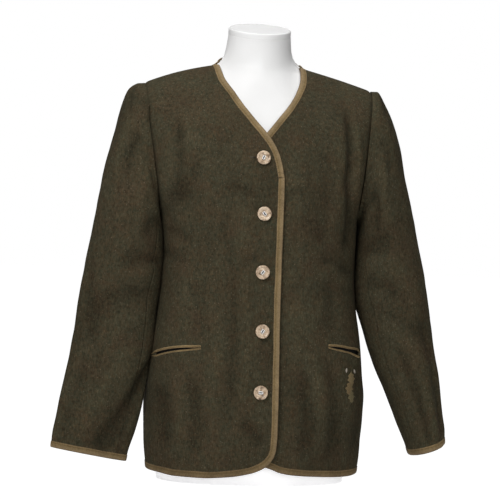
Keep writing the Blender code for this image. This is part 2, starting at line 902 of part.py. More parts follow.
# Binding of the back hem
tape = principled("binding_back_hem", (0.195, 0.128, 0.062), 0.75)
edge = []
inner = []
for j in range(len(sheet_back[0])):
    line = sheet_back[0][j]
    turned = sheet_back[1][j]
    share = BINDING_WIDTH / (line[1] - line[0]).length
    edge.append((line[0], turned[0]))
    inner.append((line[0].lerp(line[1], share), turned[0].lerp(turned[1], share).normalized()))
binding("binding_back_hem", edge, inner, tape, False)


# Binding of the back neck
tape = principled("binding_back_neck", (0.195, 0.128, 0.062), 0.75)
last_side = len(sheet_back[0]) - 1 - SIDE_COLUMNS
top_row = len(sheet_back[0][0]) - 1
path = [(j, top_row) for j in range(SIDE_COLUMNS, last_side + 1)]
line = stations(sheet_back[0], sheet_back[1], path, (4, 3, 2, 2, 2), (4, 3, 2, 2, 2))
edge = [(spot, turned) for spot, turned, cell in line]
inner = inward_points(sheet_back[0], sheet_back[1], line, -1, 1)
binding("binding_back_neck", edge, inner, tape, False)

# Bindings of the cuffs
for hand in ("right", "left"):
    tape = principled("binding_cuff_" + hand, (0.195, 0.128, 0.062), 0.75)
    count = len(SLEEVE_RIGHT)
    edge = []
    inner = []
    for k in range(2 * ARMHOLE_STEPS):
        angle = 180.0 / ARMHOLE_STEPS * k
        low = sleeve_ring(count, angle, hand)
        high = sleeve_ring(count - 1, angle, hand)
        n_low = sleeve_normal(count, angle, hand, count)
        n_high = sleeve_normal(count - 1, angle, hand, count)
        share = BINDING_WIDTH / (high - low).length
        edge.append((low, n_low))
        inner.append((low.lerp(high, share), n_low.lerp(n_high, share).normalized()))
    binding("binding_cuff_" + hand, edge, inner, tape, True)

# Pockets
for hand, spec, sheet in (("right", POCKET_RIGHT, sheet_right), ("left", POCKET_LEFT, sheet_left)):
    tape = principled("piping_" + hand, (0.195, 0.128, 0.062), 0.75)
    lift = CLOTH / 2.0 + PIPING_CLEAR + PIPING_THICK / 2.0
    pocket_strip(
        "pocket_upper_" + hand, spec, hand, sheet, tape,
        lambda gap: gap / 2.0, lambda gap: gap / 2.0 + PIPING_UPPER, lift,
    )
    tape = principled("piping_low_" + hand, (0.195, 0.128, 0.062), 0.75)
    pocket_strip(
        "pocket_lower_" + hand, spec, hand, sheet, tape,
        lambda gap: -gap / 2.0 - PIPING_LOWER, lambda gap: -gap / 2.0, lift,
    )
    pouch = principled("pocket_cloth_" + hand, (0.02, 0.018, 0.014), 0.95)
    pocket_strip(
        "pocket_bag_" + hand, spec, hand, sheet, pouch,
        lambda gap: -BAG_DROP, lambda gap: BAG_RISE, -lift,
    )

# Buttons
horn_profile = (
    (0.0, 0.0),
    (BUTTON_RADIUS - 1.6, 0.0),
    (BUTTON_RADIUS, 1.6),
    (BUTTON_RADIUS - 0.3, 3.5),
    (BUTTON_RADIUS - 2.0, BUTTON_THICK),
    (BUTTON_RADIUS - 4.4, 3.2),
    (0.0, 2.7),
)
for number, (x, z) in enumerate(BUTTONS, start=1):
    horn = principled("horn_" + str(number), (0.30, 0.21, 0.155), 0.35)
    here, n = front_frame(x, z, "right")
    start = here + n * (CLOTH / 2.0 + BUTTON_CLEAR)
    lathe("button_" + str(number), start, n, horn_profile, 24, horn)


def form_half(z):
    """Half width of the form: its own below, the shoulder line above."""
    own = steady(FORM, 1, z)
    low = 20.0
    high = own
    if ridge(own) - FORM_DROP >= z:
        return own
    for _ in range(40):
        mid = (low + high) / 2.0
        if ridge(mid) - FORM_DROP > z:
            low = mid
        else:
            high = mid
    return low


def form_clear(x):
    """Room under the cloth, wider under the neck bindings."""
    return FORM_DROP + FORM_NECK_DROP * smooth((104.0 - abs(x)) / 16.0)


def form_y(x, z, half, side):
    s = min(abs(x - steady(FORM, 2, z)) / max(half, 1.0), 1.0)
    full = steady(FORM, 3 if side < 0 else 4, z)
    edge = FORM_ARMHOLE * round_off(z - UNDERARM_Z + 20.0) if z > UNDERARM_Z - 20.0 else 0.0
    flat = 1.0 - min(edge / full, 1.0) ** BODY_POWER
    bulge = max(1.0 - flat * s ** BODY_POWER, 0.0) ** (1.0 / BODY_POWER)
    depth = round_off(ridge(x) - z - form_clear(x)) * full * bulge
    return side * max(depth, 2.0)


def form_ring(z):
    half = form_half(z)
    middle = steady(FORM, 2, z)
    ring = []
    for m in range(FORM_COLUMNS + 1):
        s = -math.cos(math.pi * m / FORM_COLUMNS)
        x = middle + half * s
        ring.append(Vector((x, form_y(x, z, half, -1), z)))
    for m in range(FORM_COLUMNS, -1, -1):
        s = -math.cos(math.pi * m / FORM_COLUMNS)
        x = middle + half * s
        ring.append(Vector((x, form_y(x, z, half, 1), z)))
    return ring


def neck_ring(z, half, front, back, slope):
    """Oval ring of the neck, tilted forward by a slope."""
    ring = []
    for side in (-1, 1):
        order = range(FORM_COLUMNS + 1)
        if side > 0:
            order = range(FORM_COLUMNS, -1, -1)
        reach = front if side < 0 else back
        for m in order:
            a = math.pi * (0.02 + 0.96 * m / FORM_COLUMNS)
            x = -half * math.cos(a)
            y = side * reach * math.sin(a)
            ring.append(Vector((x, y, z + slope * y)))
    return ring


def loft(name, rings, material):
    verts = []
    for ring in rings:
        verts.extend(ring)
    size = len(rings[0])
    faces = []
    for r in range(len(rings) - 1):
        for m in range(size):
            n = (m + 1) % size
            a = r * size
            b = a + size
            faces.append((a + m, a + n, b + n))
            faces.append((a + m, b + n, b + m))
    for base in (0, (len(rings) - 1) * size):
        centre = Vector((0.0, 0.0, 0.0))
        for m in range(size):
            centre += verts[base + m]
        verts.append(centre / size)
        tip = len(verts) - 1
        for m in range(size):
            n = (m + 1) % size
            faces.append((tip, base + m, base + n))
    return finish_mesh(name, verts, faces, material, True)


# Dress form
FORM_HEIGHTS = (
    0.0, 40.0, 90.0, 140.0, 195.0, 250.0, 306.0, 350.0, 395.0, 430.0, 465.0, 500.0, 535.0,
    570.0, 600.0, 625.0, 645.0, 658.0, 666.0, 673.0, 680.0, 687.0, 693.0, 698.0, 704.0,
)
tilt = math.tan(math.radians(CAP_TILT))
body_rings = [form_ring(z) for z in FORM_HEIGHTS]
body_rings.append(neck_ring(712.0, 58.8, 47.0, 58.0, 0.0))
body_rings.append(neck_ring(723.0, 56.0, 46.5, 53.5, tilt * 0.25))
body_rings.append(neck_ring(738.0, 53.4, 46.5, 50.0, tilt * 0.6))
body_rings.append(neck_ring(NECK_STUB_Z, NECK_STUB_HALF, 46.5, 48.0, tilt))
loft("form_torso", body_rings, principled("form_white", (0.86, 0.86, 0.87), 0.18))

# Neck cap
cap_axis = Vector((0.0, -math.sin(math.radians(CAP_TILT)), math.cos(math.radians(CAP_TILT))))
cap_start = Vector((0.0, 0.5, NECK_STUB_Z + 0.6)) + cap_axis * 0.4
cap_profile = (
    (0.0, 0.0),
    (CAP_HALF - 1.5, 0.0),
    (CAP_HALF, 1.5),
    (CAP_HALF, CAP_THICK - 3.0),
    (CAP_HALF - 1.2, CAP_THICK - 0.8),
    (CAP_HALF - 4.0, CAP_THICK),
    (0.0, CAP_THICK),
)
cap_white = principled("cap_white", (0.86, 0.86, 0.87), 0.18)
lathe("form_neck_cap", cap_start, cap_axis, cap_profile, 32, cap_white)
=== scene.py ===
import math

import bmesh
import bpy
import numpy as np
from mathutils import Matrix, Vector
from mathutils.bvhtree import BVHTree


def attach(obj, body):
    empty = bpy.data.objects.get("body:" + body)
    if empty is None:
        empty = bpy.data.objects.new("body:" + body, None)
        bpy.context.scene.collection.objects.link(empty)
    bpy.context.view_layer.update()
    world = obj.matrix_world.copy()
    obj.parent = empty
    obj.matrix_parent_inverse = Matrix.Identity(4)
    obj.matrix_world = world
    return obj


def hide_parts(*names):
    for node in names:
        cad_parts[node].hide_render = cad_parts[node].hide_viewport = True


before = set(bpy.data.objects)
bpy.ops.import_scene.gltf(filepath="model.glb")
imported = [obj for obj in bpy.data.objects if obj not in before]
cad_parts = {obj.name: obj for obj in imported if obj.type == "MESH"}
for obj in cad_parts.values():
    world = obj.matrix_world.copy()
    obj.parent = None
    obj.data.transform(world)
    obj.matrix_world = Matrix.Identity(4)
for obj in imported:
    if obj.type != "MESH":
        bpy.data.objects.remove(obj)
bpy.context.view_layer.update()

MM = 0.001
HANDS = ("right", "left")
SIGN = {"right": -1.0, "left": 1.0}

# Sizes in millimetres. The body's sides, sleeves, hems and pocket mouths depart a little from the solids
CLOTH = 1.8
SHOULDER_X = 194.0
SHOULDER_Z = 664.0
NECK_X = 70.0
NECK_Z = 700.0
UNDERARM_X = 168.0
UNDERARM_Z = 443.0
ARMHOLE_DEPTH_FRONT = 62.0
ARMHOLE_DEPTH_BACK = 66.0
BODY_POWER = 2.3
LAYER_STEP = 3.1
NECK_SOFTEN = 10.0
NECK_BEND_X = 56.0
NECK_BEND_Z = 708.25
NECK_RISE = 1.29
SHOULDER_FALL = 0.2757
SEAM_GAP = -0.6
# The back neck stands up from its seam: x, rise
BACK_STAND = (
    (0, 9), (25, 12), (40, 16.5), (50, 20),
    (59, 20), (65, 14.5), (70, 4), (76, 0),
)
STAND_REACH = 30.0
STAND_LEAN = 0.10
# Padding lifts each shoulder between the neck and the sleeve
PAD_RIGHT = 5.0
PAD_LEFT = 2.0
PAD_REACH = 70.0
SLEEVE_CLEAR = 0.3
ARMHOLE_GROOVE = 2.2
# Height of the back hem in its middle, and how much more it is at each side
BACK_HEM = 12.5
BACK_HEM_RIGHT = 6.5
BACK_HEM_LEFT = 5.5
# Inside this x the right front rises over the left one
LAYER_X = 66.0
LAYER_RUN = 30.0
# The shade value of the cloth, painted shade in the troughs of its folds and painted light on their
# ridges, runs from 0 to 1 over this depth
FOLD_SPAN = 12.0
# Length and height of the waves in hung cloth
WAVES = ((170.0, 0.9), (110.0, 0.7), (75.0, 0.45), (48.0, 0.28), (30.0, 0.16), (19.0, 0.09))
ARM_HALF = (SHOULDER_Z - UNDERARM_Z) / 2.0
ARM_MID = (SHOULDER_Z + UNDERARM_Z) / 2.0

# Body: height, half width, sway, front depth, back depth
BODY = (
    (0, 175.5, 6.5, 121, 117),
    (65, 183.3, 6.8, 124, 118),
    (133, 185.5, 8, 125, 120),
    (200, 180, 8.5, 123, 112),
    (306, 168, 9, 114, 91),
    (386, 164, 9, 118, 96),
    (443, 168, 5.5, 123, 104),
    (486, 173, 3, 124, 106),
    (546, 180, 1, 112, 101),
    (596, 186, 0, 95, 93),
    (646, 192, 0, 74, 80),
    (676, 194, 0, 62, 72),
    (706, 194, 0, 52, 66),
    (730, 194, 0, 49, 62),
)
# Front edges from the lowest neck point up: height, x
EDGE_RIGHT = (
    (507, 32), (528, 28.5), (545, 24), (561, 16.5), (582, 2.5),
    (605, -17), (626, -34), (650, -49), (676, -64), (700, -70),
)
EDGE_LEFT = (
    (507, -28), (528, -25), (545, -19.5), (561, -11.5), (585, 9),
    (609, 28.5), (630, 45), (651, 58), (677, 68), (700, 70),
)
# Hems: x, height
HEM_RIGHT = (
    (-190, 19.5), (-160, 17), (-130, 14), (-85, 14), (-43, 17.5), (-11, 23),
    (7, 30), (17.5, 37), (26, 48), (30.5, 62), (32, 84),
)
HEM_LEFT = (
    (-28, 98), (-25, 74), (-14, 52), (4, 38), (26.5, 30),
    (39, 25), (56, 22), (111, 17.5), (150, 16), (200, 18.5),
)
# Back neck seam: x, height
BACK_NECK = (
    (0, 703), (25, 700.5), (40, 697), (50, 694.5),
    (60, 694.5), (66, 696.5), (70, 700),
)

# Sleeves: outer x, outer height, inner x, inner height, front depth, back depth, y shift
SLEEVE_RIGHT = (
    (-204, 662.5, -164, 438, 63, 66, 0),
    (-217.5, 653.5, -160.5, 430, 64, 67, 0),
    (-228.5, 631, -156.5, 417, 64, 66, -1),
    (-238.5, 592, -154, 398, 63, 63, -2),
    (-250.5, 540, -153.5, 372, 60, 60, -4),
    (-262, 482, -155.5, 342, 56, 56, -7),
    (-272.5, 424, -159, 310, 51, 51, -9),
    (-283, 366, -164, 276, 45, 45, -12),
    (-292.5, 308, -165, 240, 39, 39, -15),
    (-300, 250, -168.5, 204, 33, 33, -18),
    (-309, 195, -175, 166, 28, 28, -21),
    (-318.5, 140, -184.5, 118, 23, 23, -23),
    (-326, 98, -195, 77, 18, 18, -25),
    (-330.5, 71, -203, 50.5, 15, 15, -26),
    (-331.5, 52, -207.5, 30.5, 13, 13, -27),
)
SLEEVE_LEFT = (
    (204.5, 665, 176.5, 438, 63, 66, 0),
    (217, 647, 177.5, 430, 65, 67, 0),
    (229, 622, 176, 417, 67, 68, -1),
    (239.5, 588, 174.5, 398, 68, 68, -2),
    (250, 543, 173, 372, 67, 67, -3),
    (262, 490, 172.5, 342, 65, 65, -5),
    (274, 437, 175, 310, 62, 62, -8),
    (285.5, 384, 184, 280, 59, 59, -10),
    (296, 330, 194, 248, 56, 56, -13),
    (304.5, 276, 203.5, 218, 54, 54, -16),
    (312.5, 222, 217, 184, 52, 52, -19),
    (321, 170, 235, 145, 51, 51, -22),
    (327.5, 122, 253.5, 99, 50, 50, -25),
    (331, 91, 266, 70, 50, 50, -27),
    (331.5, 70.5, 274.5, 49.5, 50, 50, -28),
)

# Folds of a body piece: x, height, x, height, width, depth (a trough is below 0)
FOLDS_RIGHT = (
    (-160, 158, -149, 60, 12, -4.6),
    (-136, 184, -127, 66, 10, 3),
    (-110, 534, -134, 460, 12, -3.6),
    (-88, 560, -100, 470, 16, 2),
    (-62, 490, -14, 479, 6, -3.2),
    (-40, 462, -32, 396, 15, 2.8),
    (-38, 361, -2, 377, 6.5, -3.6),
    (-58, 424, -53, 112, 10, -3.6),
    (-80, 310, -76, 88, 13, 3),
    (-30, 330, -26, 130, 12, 1.8),
    (-22, 106, 10, 68, 10, -4),
    (-106, 330, -100, 240, 13, -2.4),
    (-140, 600, -148, 452, 8, -4.6),
    (-128, 610, -133, 500, 9, 2.2),
    (-160, 585, -163, 470, 7, 2.2),
    (-152, 420, -112, 398, 8, -3),
    (-156, 380, -120, 366, 8, -2.4),
    (-110, 176, -102, 50, 11, -3),
)
FOLDS_LEFT = (
    (141, 626, 142, 500, 6.5, -6.4),
    (143, 508, 147, 390, 7, -6),
    (158, 600, 156, 470, 6, 3.4),
    (122, 600, 126, 430, 12, 3),
    (34, 474, 68, 484, 7, -3),
    (36, 493, 74, 500, 8, 1.8),
    (62, 440, 108, 404, 11, -2.6),
    (104, 380, 158, 352, 9, -3.2),
    (110, 364, 160, 336, 9, 2.2),
    (116, 340, 112, 250, 12, -3),
    (60, 300, 64, 190, 16, 2.2),
    (74, 190, 80, 46, 12, -3.6),
    (98, 200, 108, 50, 12, 3),
    (118, 208, 128, 50, 11, -4),
    (170, 190, 172, 50, 9, -4),
    (50, 330, 110, 318, 14, -2.2),
)
FOLDS_BACK = (
    (-144, 610, -148, 450, 8, -5),
    (144, 604, 146, 440, 8, -5.2),
    (-124, 600, -128, 470, 11, 2.8),
    (124, 600, 126, 460, 11, 2.8),
    (-120, 560, -30, 470, 13, -3),
    (118, 540, 40, 480, 12, -2.6),
    (-120, 352, -20, 336, 9, -3.8),
    (-104, 332, 10, 318, 10, 2.6),
    (20, 345, 130, 360, 9, -3.6),
    (0, 318, 110, 330, 9, 2.2),
    (-90, 298, 60, 288, 11, -2.8),
    (-70, 230, -84, 40, 13, -4.4),
    (-30, 210, -28, 40, 14, 3.2),
    (22, 220, 30, 40, 13, -4),
    (88, 240, 98, 40, 13, -4.6),
    (136, 200, 146, 50, 12, 3),
    (-140, 180, -150, 50, 12, -4.2),
    (0, 690, 0, 560, 18, -2),
)

# Folds of a sleeve: angle, section, angle, section, width, depth
FOLDS_SLEEVE_RIGHT = (
    (74, 2.4, 58, 4.8, 8, -5),
    (54, 2.6, 40, 5, 8, 3.2),
    (104, 2.6, 96, 5.2, 10, 2.6),
    (172, 10.2, 102, 14.6, 15, -12),
    (120, 9.8, 76, 13.4, 10, 3),
    (150, 3.2, 110, 5.6, 9, -4.2),
    (158, 5.4, 84, 7.4, 8, -4.2),
    (150, 6.2, 60, 8.4, 9, 1.6),
    (162, 7, 40, 9.6, 11, -3.2),
    (140, 8.4, 40, 11, 10, 1.8),
    (30, 8, 70, 10.6, 10, -2.8),
    (56, 11, 44, 14.6, 11, -3.4),
    (-50, 3.6, -80, 6.8, 9, -4.2),
    (-140, 5.6, -70, 7.4, 8, -4),
    (-150, 7, -80, 8.6, 8, -3.8),
    (-120, 8.6, -50, 9.6, 9, -3.4),
    (-60, 10.5, -90, 14.6, 10, -3.4),
    (10, 1.2, 40, 3, 7, -2),
)
FOLDS_SLEEVE_LEFT = (
    (124, 1.8, 106, 5.2, 8, -5.4),
    (100, 1.6, 84, 4.6, 8, 3.2),
    (72, 1.8, 66, 4.4, 9, -2.8),
    (28, 1.6, 44, 3.4, 6, -3),
    (150, 4.8, 90, 6.4, 8, -4.2),
    (146, 5.6, 66, 8, 9, 1.8),
    (156, 6.2, 70, 9, 9, -3),
    (150, 7.8, 60, 10.4, 9, -2.6),
    (140, 9, 50, 11.4, 10, 1.8),
    (110, 10, 94, 14.6, 9, -4),
    (80, 10, 74, 14.6, 9, 2.6),
    (56, 9.6, 48, 14, 10, -3.2),
    (-140, 5.6, -70, 7.4, 8, -4),
    (-150, 7.2, -84, 8.8, 8, -3.6),
    (-70, 3.4, -90, 6.4, 9, -4),
    (-80, 10.2, -96, 14.6, 10, -3.6),
)

# Pocket mouths: x of the inner end, height, x of the outer end, height, openings
POCKET_RIGHT = (-94.0, 225.5, -169.0, 207.0, 2.0, 3.2, 3.6)
POCKET_LEFT = (117.0, 232.0, 181.0, 217.0, 2.6, 4.2, 8.0)

# Buttons: x, height, turn of the thread bars in degrees
BUTTONS = (
    (-2.0, 539.0, 66.0),
    (1.0, 448.0, 128.0),
    (1.5, 352.5, 54.0),
    (3.5, 255.0, 57.0),
    (3.0, 155.5, -3.0),
)
# Ends of each buttonhole and of the slit that shows, from the button's centre
BUTTONHOLES = (
    (-24.0, 12.0, -17.5, -10.0),
    (-9.0, 14.0, -8.0, 8.0),
    (-9.0, 14.0, -8.0, 8.0),
    (-9.0, 15.0, -8.0, 8.0),
    (-9.0, 13.5, -8.0, 12.0),
)
# Eyelet: x, height, radius
EYELET = (16.0, 156.3, 1.9)
# Heights of the two seams where the front binding is joined
BINDING_JOIN = (515.5, 508.5)

EDGE = {"right": EDGE_RIGHT, "left": EDGE_LEFT}
HEM = {"right": HEM_RIGHT, "left": HEM_LEFT}
SLEEVE = {"right": SLEEVE_RIGHT, "left": SLEEVE_LEFT}
POCKET = {"right": POCKET_RIGHT, "left": POCKET_LEFT}
FOLDS = {"right": FOLDS_RIGHT, "left": FOLDS_LEFT, "back": FOLDS_BACK}
FOLDS_SLEEVE = {"right": FOLDS_SLEEVE_RIGHT, "left": FOLDS_SLEEVE_LEFT}
# Share of a pocket mouth's length that is open, and cloth left out above and below it
MOUTH_FROM = 0.06
MOUTH_TO = 0.93
MOUTH_ROOM = 1.6

# Cells of the cloth's grids
SIDE_FINE = 44
NECK_FINE = 62
LOW_FINE = 104
HIGH_FINE = 72
AROUND_TOP = 84
AROUND_UNDER = 34
ALONG = 190


def steady(rows, column, t):
    """Monotone cubic reading of a table column at one or many places."""
    keys = np.array([row[0] for row in rows], float)
    vals = np.array([row[column] for row in rows], float)
    step = np.diff(keys)
    slope = np.diff(vals) / step
    tangent = np.empty(len(keys))
    tangent[0] = slope[0]
    tangent[-1] = slope[-1]
    a = slope[:-1]
    b = slope[1:]
    same = a * b > 0.0
    total = np.where(same, a + b, 1.0)
    tangent[1:-1] = np.where(same, 2.0 * a * b / total, 0.0)
    t = np.clip(np.asarray(t, float), keys[0], keys[-1])
    i = np.clip(np.searchsorted(keys, t, side="right") - 1, 0, len(keys) - 2)
    q = (t - keys[i]) / step[i]
    h00 = (1.0 + 2.0 * q) * (1.0 - q) ** 2
    h01 = q * q * (3.0 - 2.0 * q)
    h10 = q * (1.0 - q) ** 2
    h11 = q * q * (q - 1.0)
    return h00 * vals[i] + h01 * vals[i + 1] + step[i] * (h10 * tangent[i] + h11 * tangent[i + 1])


def smooth(t):
    """Runs from 0 to 1 with soft ends."""
    t = np.clip(t, 0.0, 1.0)
    return t * t * (3.0 - 2.0 * t)


def round_off(h):
    """Quarter of an ellipse that closes a shape over its last stretch of height."""
    q = 1.0 - np.clip(h / ARM_HALF, 0.0, 1.0)
    return np.sqrt(np.maximum(1.0 - q * q, 0.0))


def ridge(x):
    """Height of the shoulder seam, which bends up softly at the neck."""
    out = np.abs(x) - NECK_BEND_X
    bend = (np.sqrt(out * out + NECK_SOFTEN ** 2) - out - NECK_SOFTEN) / 2.0
    return NECK_BEND_Z - SHOULDER_FALL * out + NECK_RISE * bend


def armhole_x(z):
    q = np.clip((z - ARM_MID) / ARM_HALF, -1.0, 1.0)
    return (SHOULDER_X + UNDERARM_X) / 2.0 + (SHOULDER_X - UNDERARM_X) / 2.0 * q


def half_width(z):
    return np.where(z <= UNDERARM_Z, steady(BODY, 1, z), armhole_x(z))


def sway(z):
    return steady(BODY, 2, z)


def column_x(s, z):
    return sway(z) + s * half_width(z)


def bulge(s, edge):
    """Depth over the width of a section, as a share, with the edge's share at both ends."""
    flat = 1.0 - edge ** BODY_POWER
    return np.maximum(1.0 - flat * np.abs(s) ** BODY_POWER, 0.0) ** (1.0 / BODY_POWER)


def body_depth(x, z, side):
    s = np.minimum(np.abs(x - sway(z)) / half_width(z), 1.0)
    full = steady(BODY, 3 if side < 0 else 4, z)
    at_armhole = ARMHOLE_DEPTH_FRONT if side < 0 else ARMHOLE_DEPTH_BACK
    edge = at_armhole * round_off(z - UNDERARM_Z)
    return round_off(ridge(x) - z) * full * bulge(s, edge / full)


def layer(x, hand):
    if hand == "right":
        return -LAYER_STEP * smooth((x + LAYER_X) / LAYER_RUN)
    if hand == "left":
        return LAYER_STEP * smooth((LAYER_X - x) / LAYER_RUN)
    return 0.0 * x


def body_y(x, z, side, hand):
    return side * (SEAM_GAP / 2.0 + body_depth(x, z, side)) + layer(x, hand)


def uneven(a, b, seed):
    """Slow unevenness of hung cloth, in millimetres, from two lengths."""
    rng = np.random.default_rng(seed)
    total = np.zeros(np.broadcast(a, b).shape)
    for wave, height in WAVES:
        for _ in range(3):
            turn = rng.uniform(0.0, math.pi)
            phase = rng.uniform(0.0, 2.0 * math.pi)
            along = a * math.cos(turn) + b * math.sin(turn) * 0.6
            total = total + height * 0.6 * np.sin(2.0 * math.pi * along / wave + phase)
    return total


def fold_sum(a, b, folds, scale_a=1.0, scale_b=1.0):
    """Sum of soft troughs and ridges along short lines."""
    total = np.zeros(a.shape)
    for a0, b0, a1, b1, width, depth in folds:
        da = (a1 - a0) * scale_a
        db = (b1 - b0) * scale_b
        length = math.hypot(da, db)
        pa = (a - a0) * scale_a
        pb = (b - b0) * scale_b
        along = (pa * da + pb * db) / length
        bow = 0.05 * length * np.sin(np.clip(along / length, 0.0, 1.0) * math.pi)
        across = (pb * da - pa * db) / length - bow
        share = along / length
        fade = smooth(share / 0.32 + 0.4) * smooth((1.0 - share) / 0.32 + 0.4)
        spread = width * (1.0 + 0.35 * np.clip(share, 0.0, 1.0))
        total += depth * np.exp(-(across / spread) ** 2) * fade
    return total


def normals_of(P):
    """Unit normals of a grid of points."""
    du = np.gradient(P, axis=0)
    dv = np.gradient(P, axis=1)
    n = np.cross(du, dv)
    size = np.linalg.norm(n, axis=2, keepdims=True)
    return n / np.maximum(size, 1e-9)


def edge_height(s, rows):
    """Height at which a column of the front meets its neck edge."""
    low = np.full(s.shape, float(rows[0][0]))
    high = np.full(s.shape, float(rows[-1][0]))
    rising = rows[-1][1] > rows[0][1]
    for _ in range(40):
        mid = (low + high) / 2.0
        over = column_x(s, mid) - steady(rows, 1, mid)
        if rising:
            over = -over
        high = np.where(over > 0.0, mid, high)
        low = np.where(over > 0.0, low, mid)
    return (low + high) / 2.0


def fine_rows():
    low = (UNDERARM_Z - 12.0) / (SHOULDER_Z - 12.0)
    rows = [low * k / LOW_FINE for k in range(LOW_FINE)]
    for k in range(HIGH_FINE + 1):
        rows.append(low + (1.0 - low) * (1.0 - math.cos(math.pi * k / HIGH_FINE)) / 2.0)
    return np.array(rows)


def side_fine():
    neck = NECK_X / SHOULDER_X
    k = np.arange(SIDE_FINE) / SIDE_FINE
    return 1.0 - (1.0 - neck) * (1.0 - np.cos(math.pi / 2.0 * k))


def front_grid(hand):
    """Points of a front, from its side round the neck and down to its edge."""
    rows = EDGE[hand]
    low_z, low_x = rows[0]
    neck = NECK_X / SHOULDER_X
    k = np.arange(1, NECK_FINE + 1) / NECK_FINE
    share = 0.35 * k + 0.65 * k ** 1.35
    z = NECK_Z - (NECK_Z - low_z) * share
    inner = (steady(rows, 1, z) - sway(z)) / half_width(z)
    s = np.concatenate([SIGN[hand] * side_fine(), [SIGN[hand] * neck], inner])
    top = np.where(np.arange(len(s)) <= SIDE_FINE, ridge(SHOULDER_X * s), edge_height(s, rows))
    last = (low_x - sway(low_z)) / half_width(low_z)

    def shift(s, z):
        part = np.where(s * last > 0.0, smooth(s / last), 0.0)
        return np.where(z < low_z, (low_x - column_x(last, z)) * part, 0.0)

    level = np.full(s.shape, 20.0)
    bottom = steady(HEM[hand], 1, column_x(s, level) + shift(s, level))
    f = fine_rows()
    Z = bottom[:, None] + (top - bottom)[:, None] * f[None, :]
    S = np.repeat(s[:, None], len(f), axis=1)
    X = column_x(S, Z) + shift(S, Z)
    return padded_shoulder(np.stack([X, body_y(X, Z, -1, hand), Z], axis=2))


def back_grid():
    neck = NECK_X / SHOULDER_X
    side = side_fine()
    turn = np.cos(math.pi * np.arange(NECK_FINE + 1) / NECK_FINE)
    middle = -neck * np.copysign(np.abs(turn) ** 0.75, turn)
    s = np.concatenate([-side, middle, side[::-1]])
    index = np.arange(len(s))
    on_side = (index <= SIDE_FINE) | (index >= len(s) - 1 - SIDE_FINE)
    top = np.where(on_side, ridge(SHOULDER_X * s), steady(BACK_NECK, 1, np.abs(SHOULDER_X * s)))
    f = fine_rows()
    low = BACK_HEM + BACK_HEM_RIGHT * smooth((-s - 0.7) / 0.3)
    low = low + BACK_HEM_LEFT * smooth((s - 0.7) / 0.3)
    Z = low[:, None] + (top - low)[:, None] * f[None, :]
    S = np.repeat(s[:, None], len(f), axis=1)
    X = column_x(S, Z)
    P = np.stack([X, body_y(X, Z, 1, "back"), Z], axis=2)
    rise = steady(BACK_STAND, 1, np.abs(SHOULDER_X * s))
    share = smooth((Z - top[:, None] + STAND_REACH) / STAND_REACH)
    P[..., 2] += rise[:, None] * share
    P[..., 1] += STAND_LEAN * rise[:, None] * share
    return padded_shoulder(P)


def padded_shoulder(P):
    X = P[..., 0]
    span = np.clip((np.abs(X) - NECK_X) / (SHOULDER_X - NECK_X), 0.0, 1.0)
    lift = np.where(X < 0.0, PAD_RIGHT, PAD_LEFT) * np.sin(math.pi * span) ** 0.8
    P[..., 2] += lift * smooth((P[..., 2] - ridge(X) + PAD_REACH) / PAD_REACH)
    return P


def from_outline(P):
    """Distance of points of the body from the outline of its side."""
    return half_width(P[..., 2]) - np.abs(P[..., 0] - sway(P[..., 2]))


def seam_fade(P):
    """1 inside a body piece, 0 at its side, armhole and shoulder seams."""
    X = P[..., 0]
    Z = P[..., 2]
    reach = from_outline(P)
    depth = np.abs(P[..., 1])
    below = smooth(depth / 26.0)
    above = smooth(reach / 9.0 + 0.15)
    blend = smooth((Z - UNDERARM_Z + 20.0) / 40.0)
    fade = above * blend + below * (1.0 - blend)
    return fade * smooth((ridge(X) - Z) / 14.0)


def displaced(P, side, folds, seed):
    """Points with folds, their outward normals and the depth of the folds."""
    n = normals_of(P)
    n = n * np.sign(np.sum(n[..., 1] * side))
    d = fold_sum(P[..., 0], P[..., 2], folds)
    d = d + uneven(P[..., 0] * 1.15, P[..., 2], seed)
    d = d * seam_fade(P)
    groove = np.exp(-(from_outline(P) / 4.0) ** 2) * smooth((P[..., 2] - UNDERARM_Z) / 30.0)
    d = d - ARMHOLE_GROOVE * groove
    return P + n * d[..., None], n, d


def ring_rows(hand):
    """Numbered sections of a sleeve, the first one at the armhole."""
    first = (
        SIGN[hand] * (SHOULDER_X + SLEEVE_CLEAR),
        SHOULDER_Z,
        SIGN[hand] * (UNDERARM_X + SLEEVE_CLEAR) + float(sway(UNDERARM_Z)),
        UNDERARM_Z,
        ARMHOLE_DEPTH_FRONT,
        ARMHOLE_DEPTH_BACK,
        0.0,
    )
    return [(float(i),) + tuple(row) for i, row in enumerate((first,) + SLEEVE[hand])]


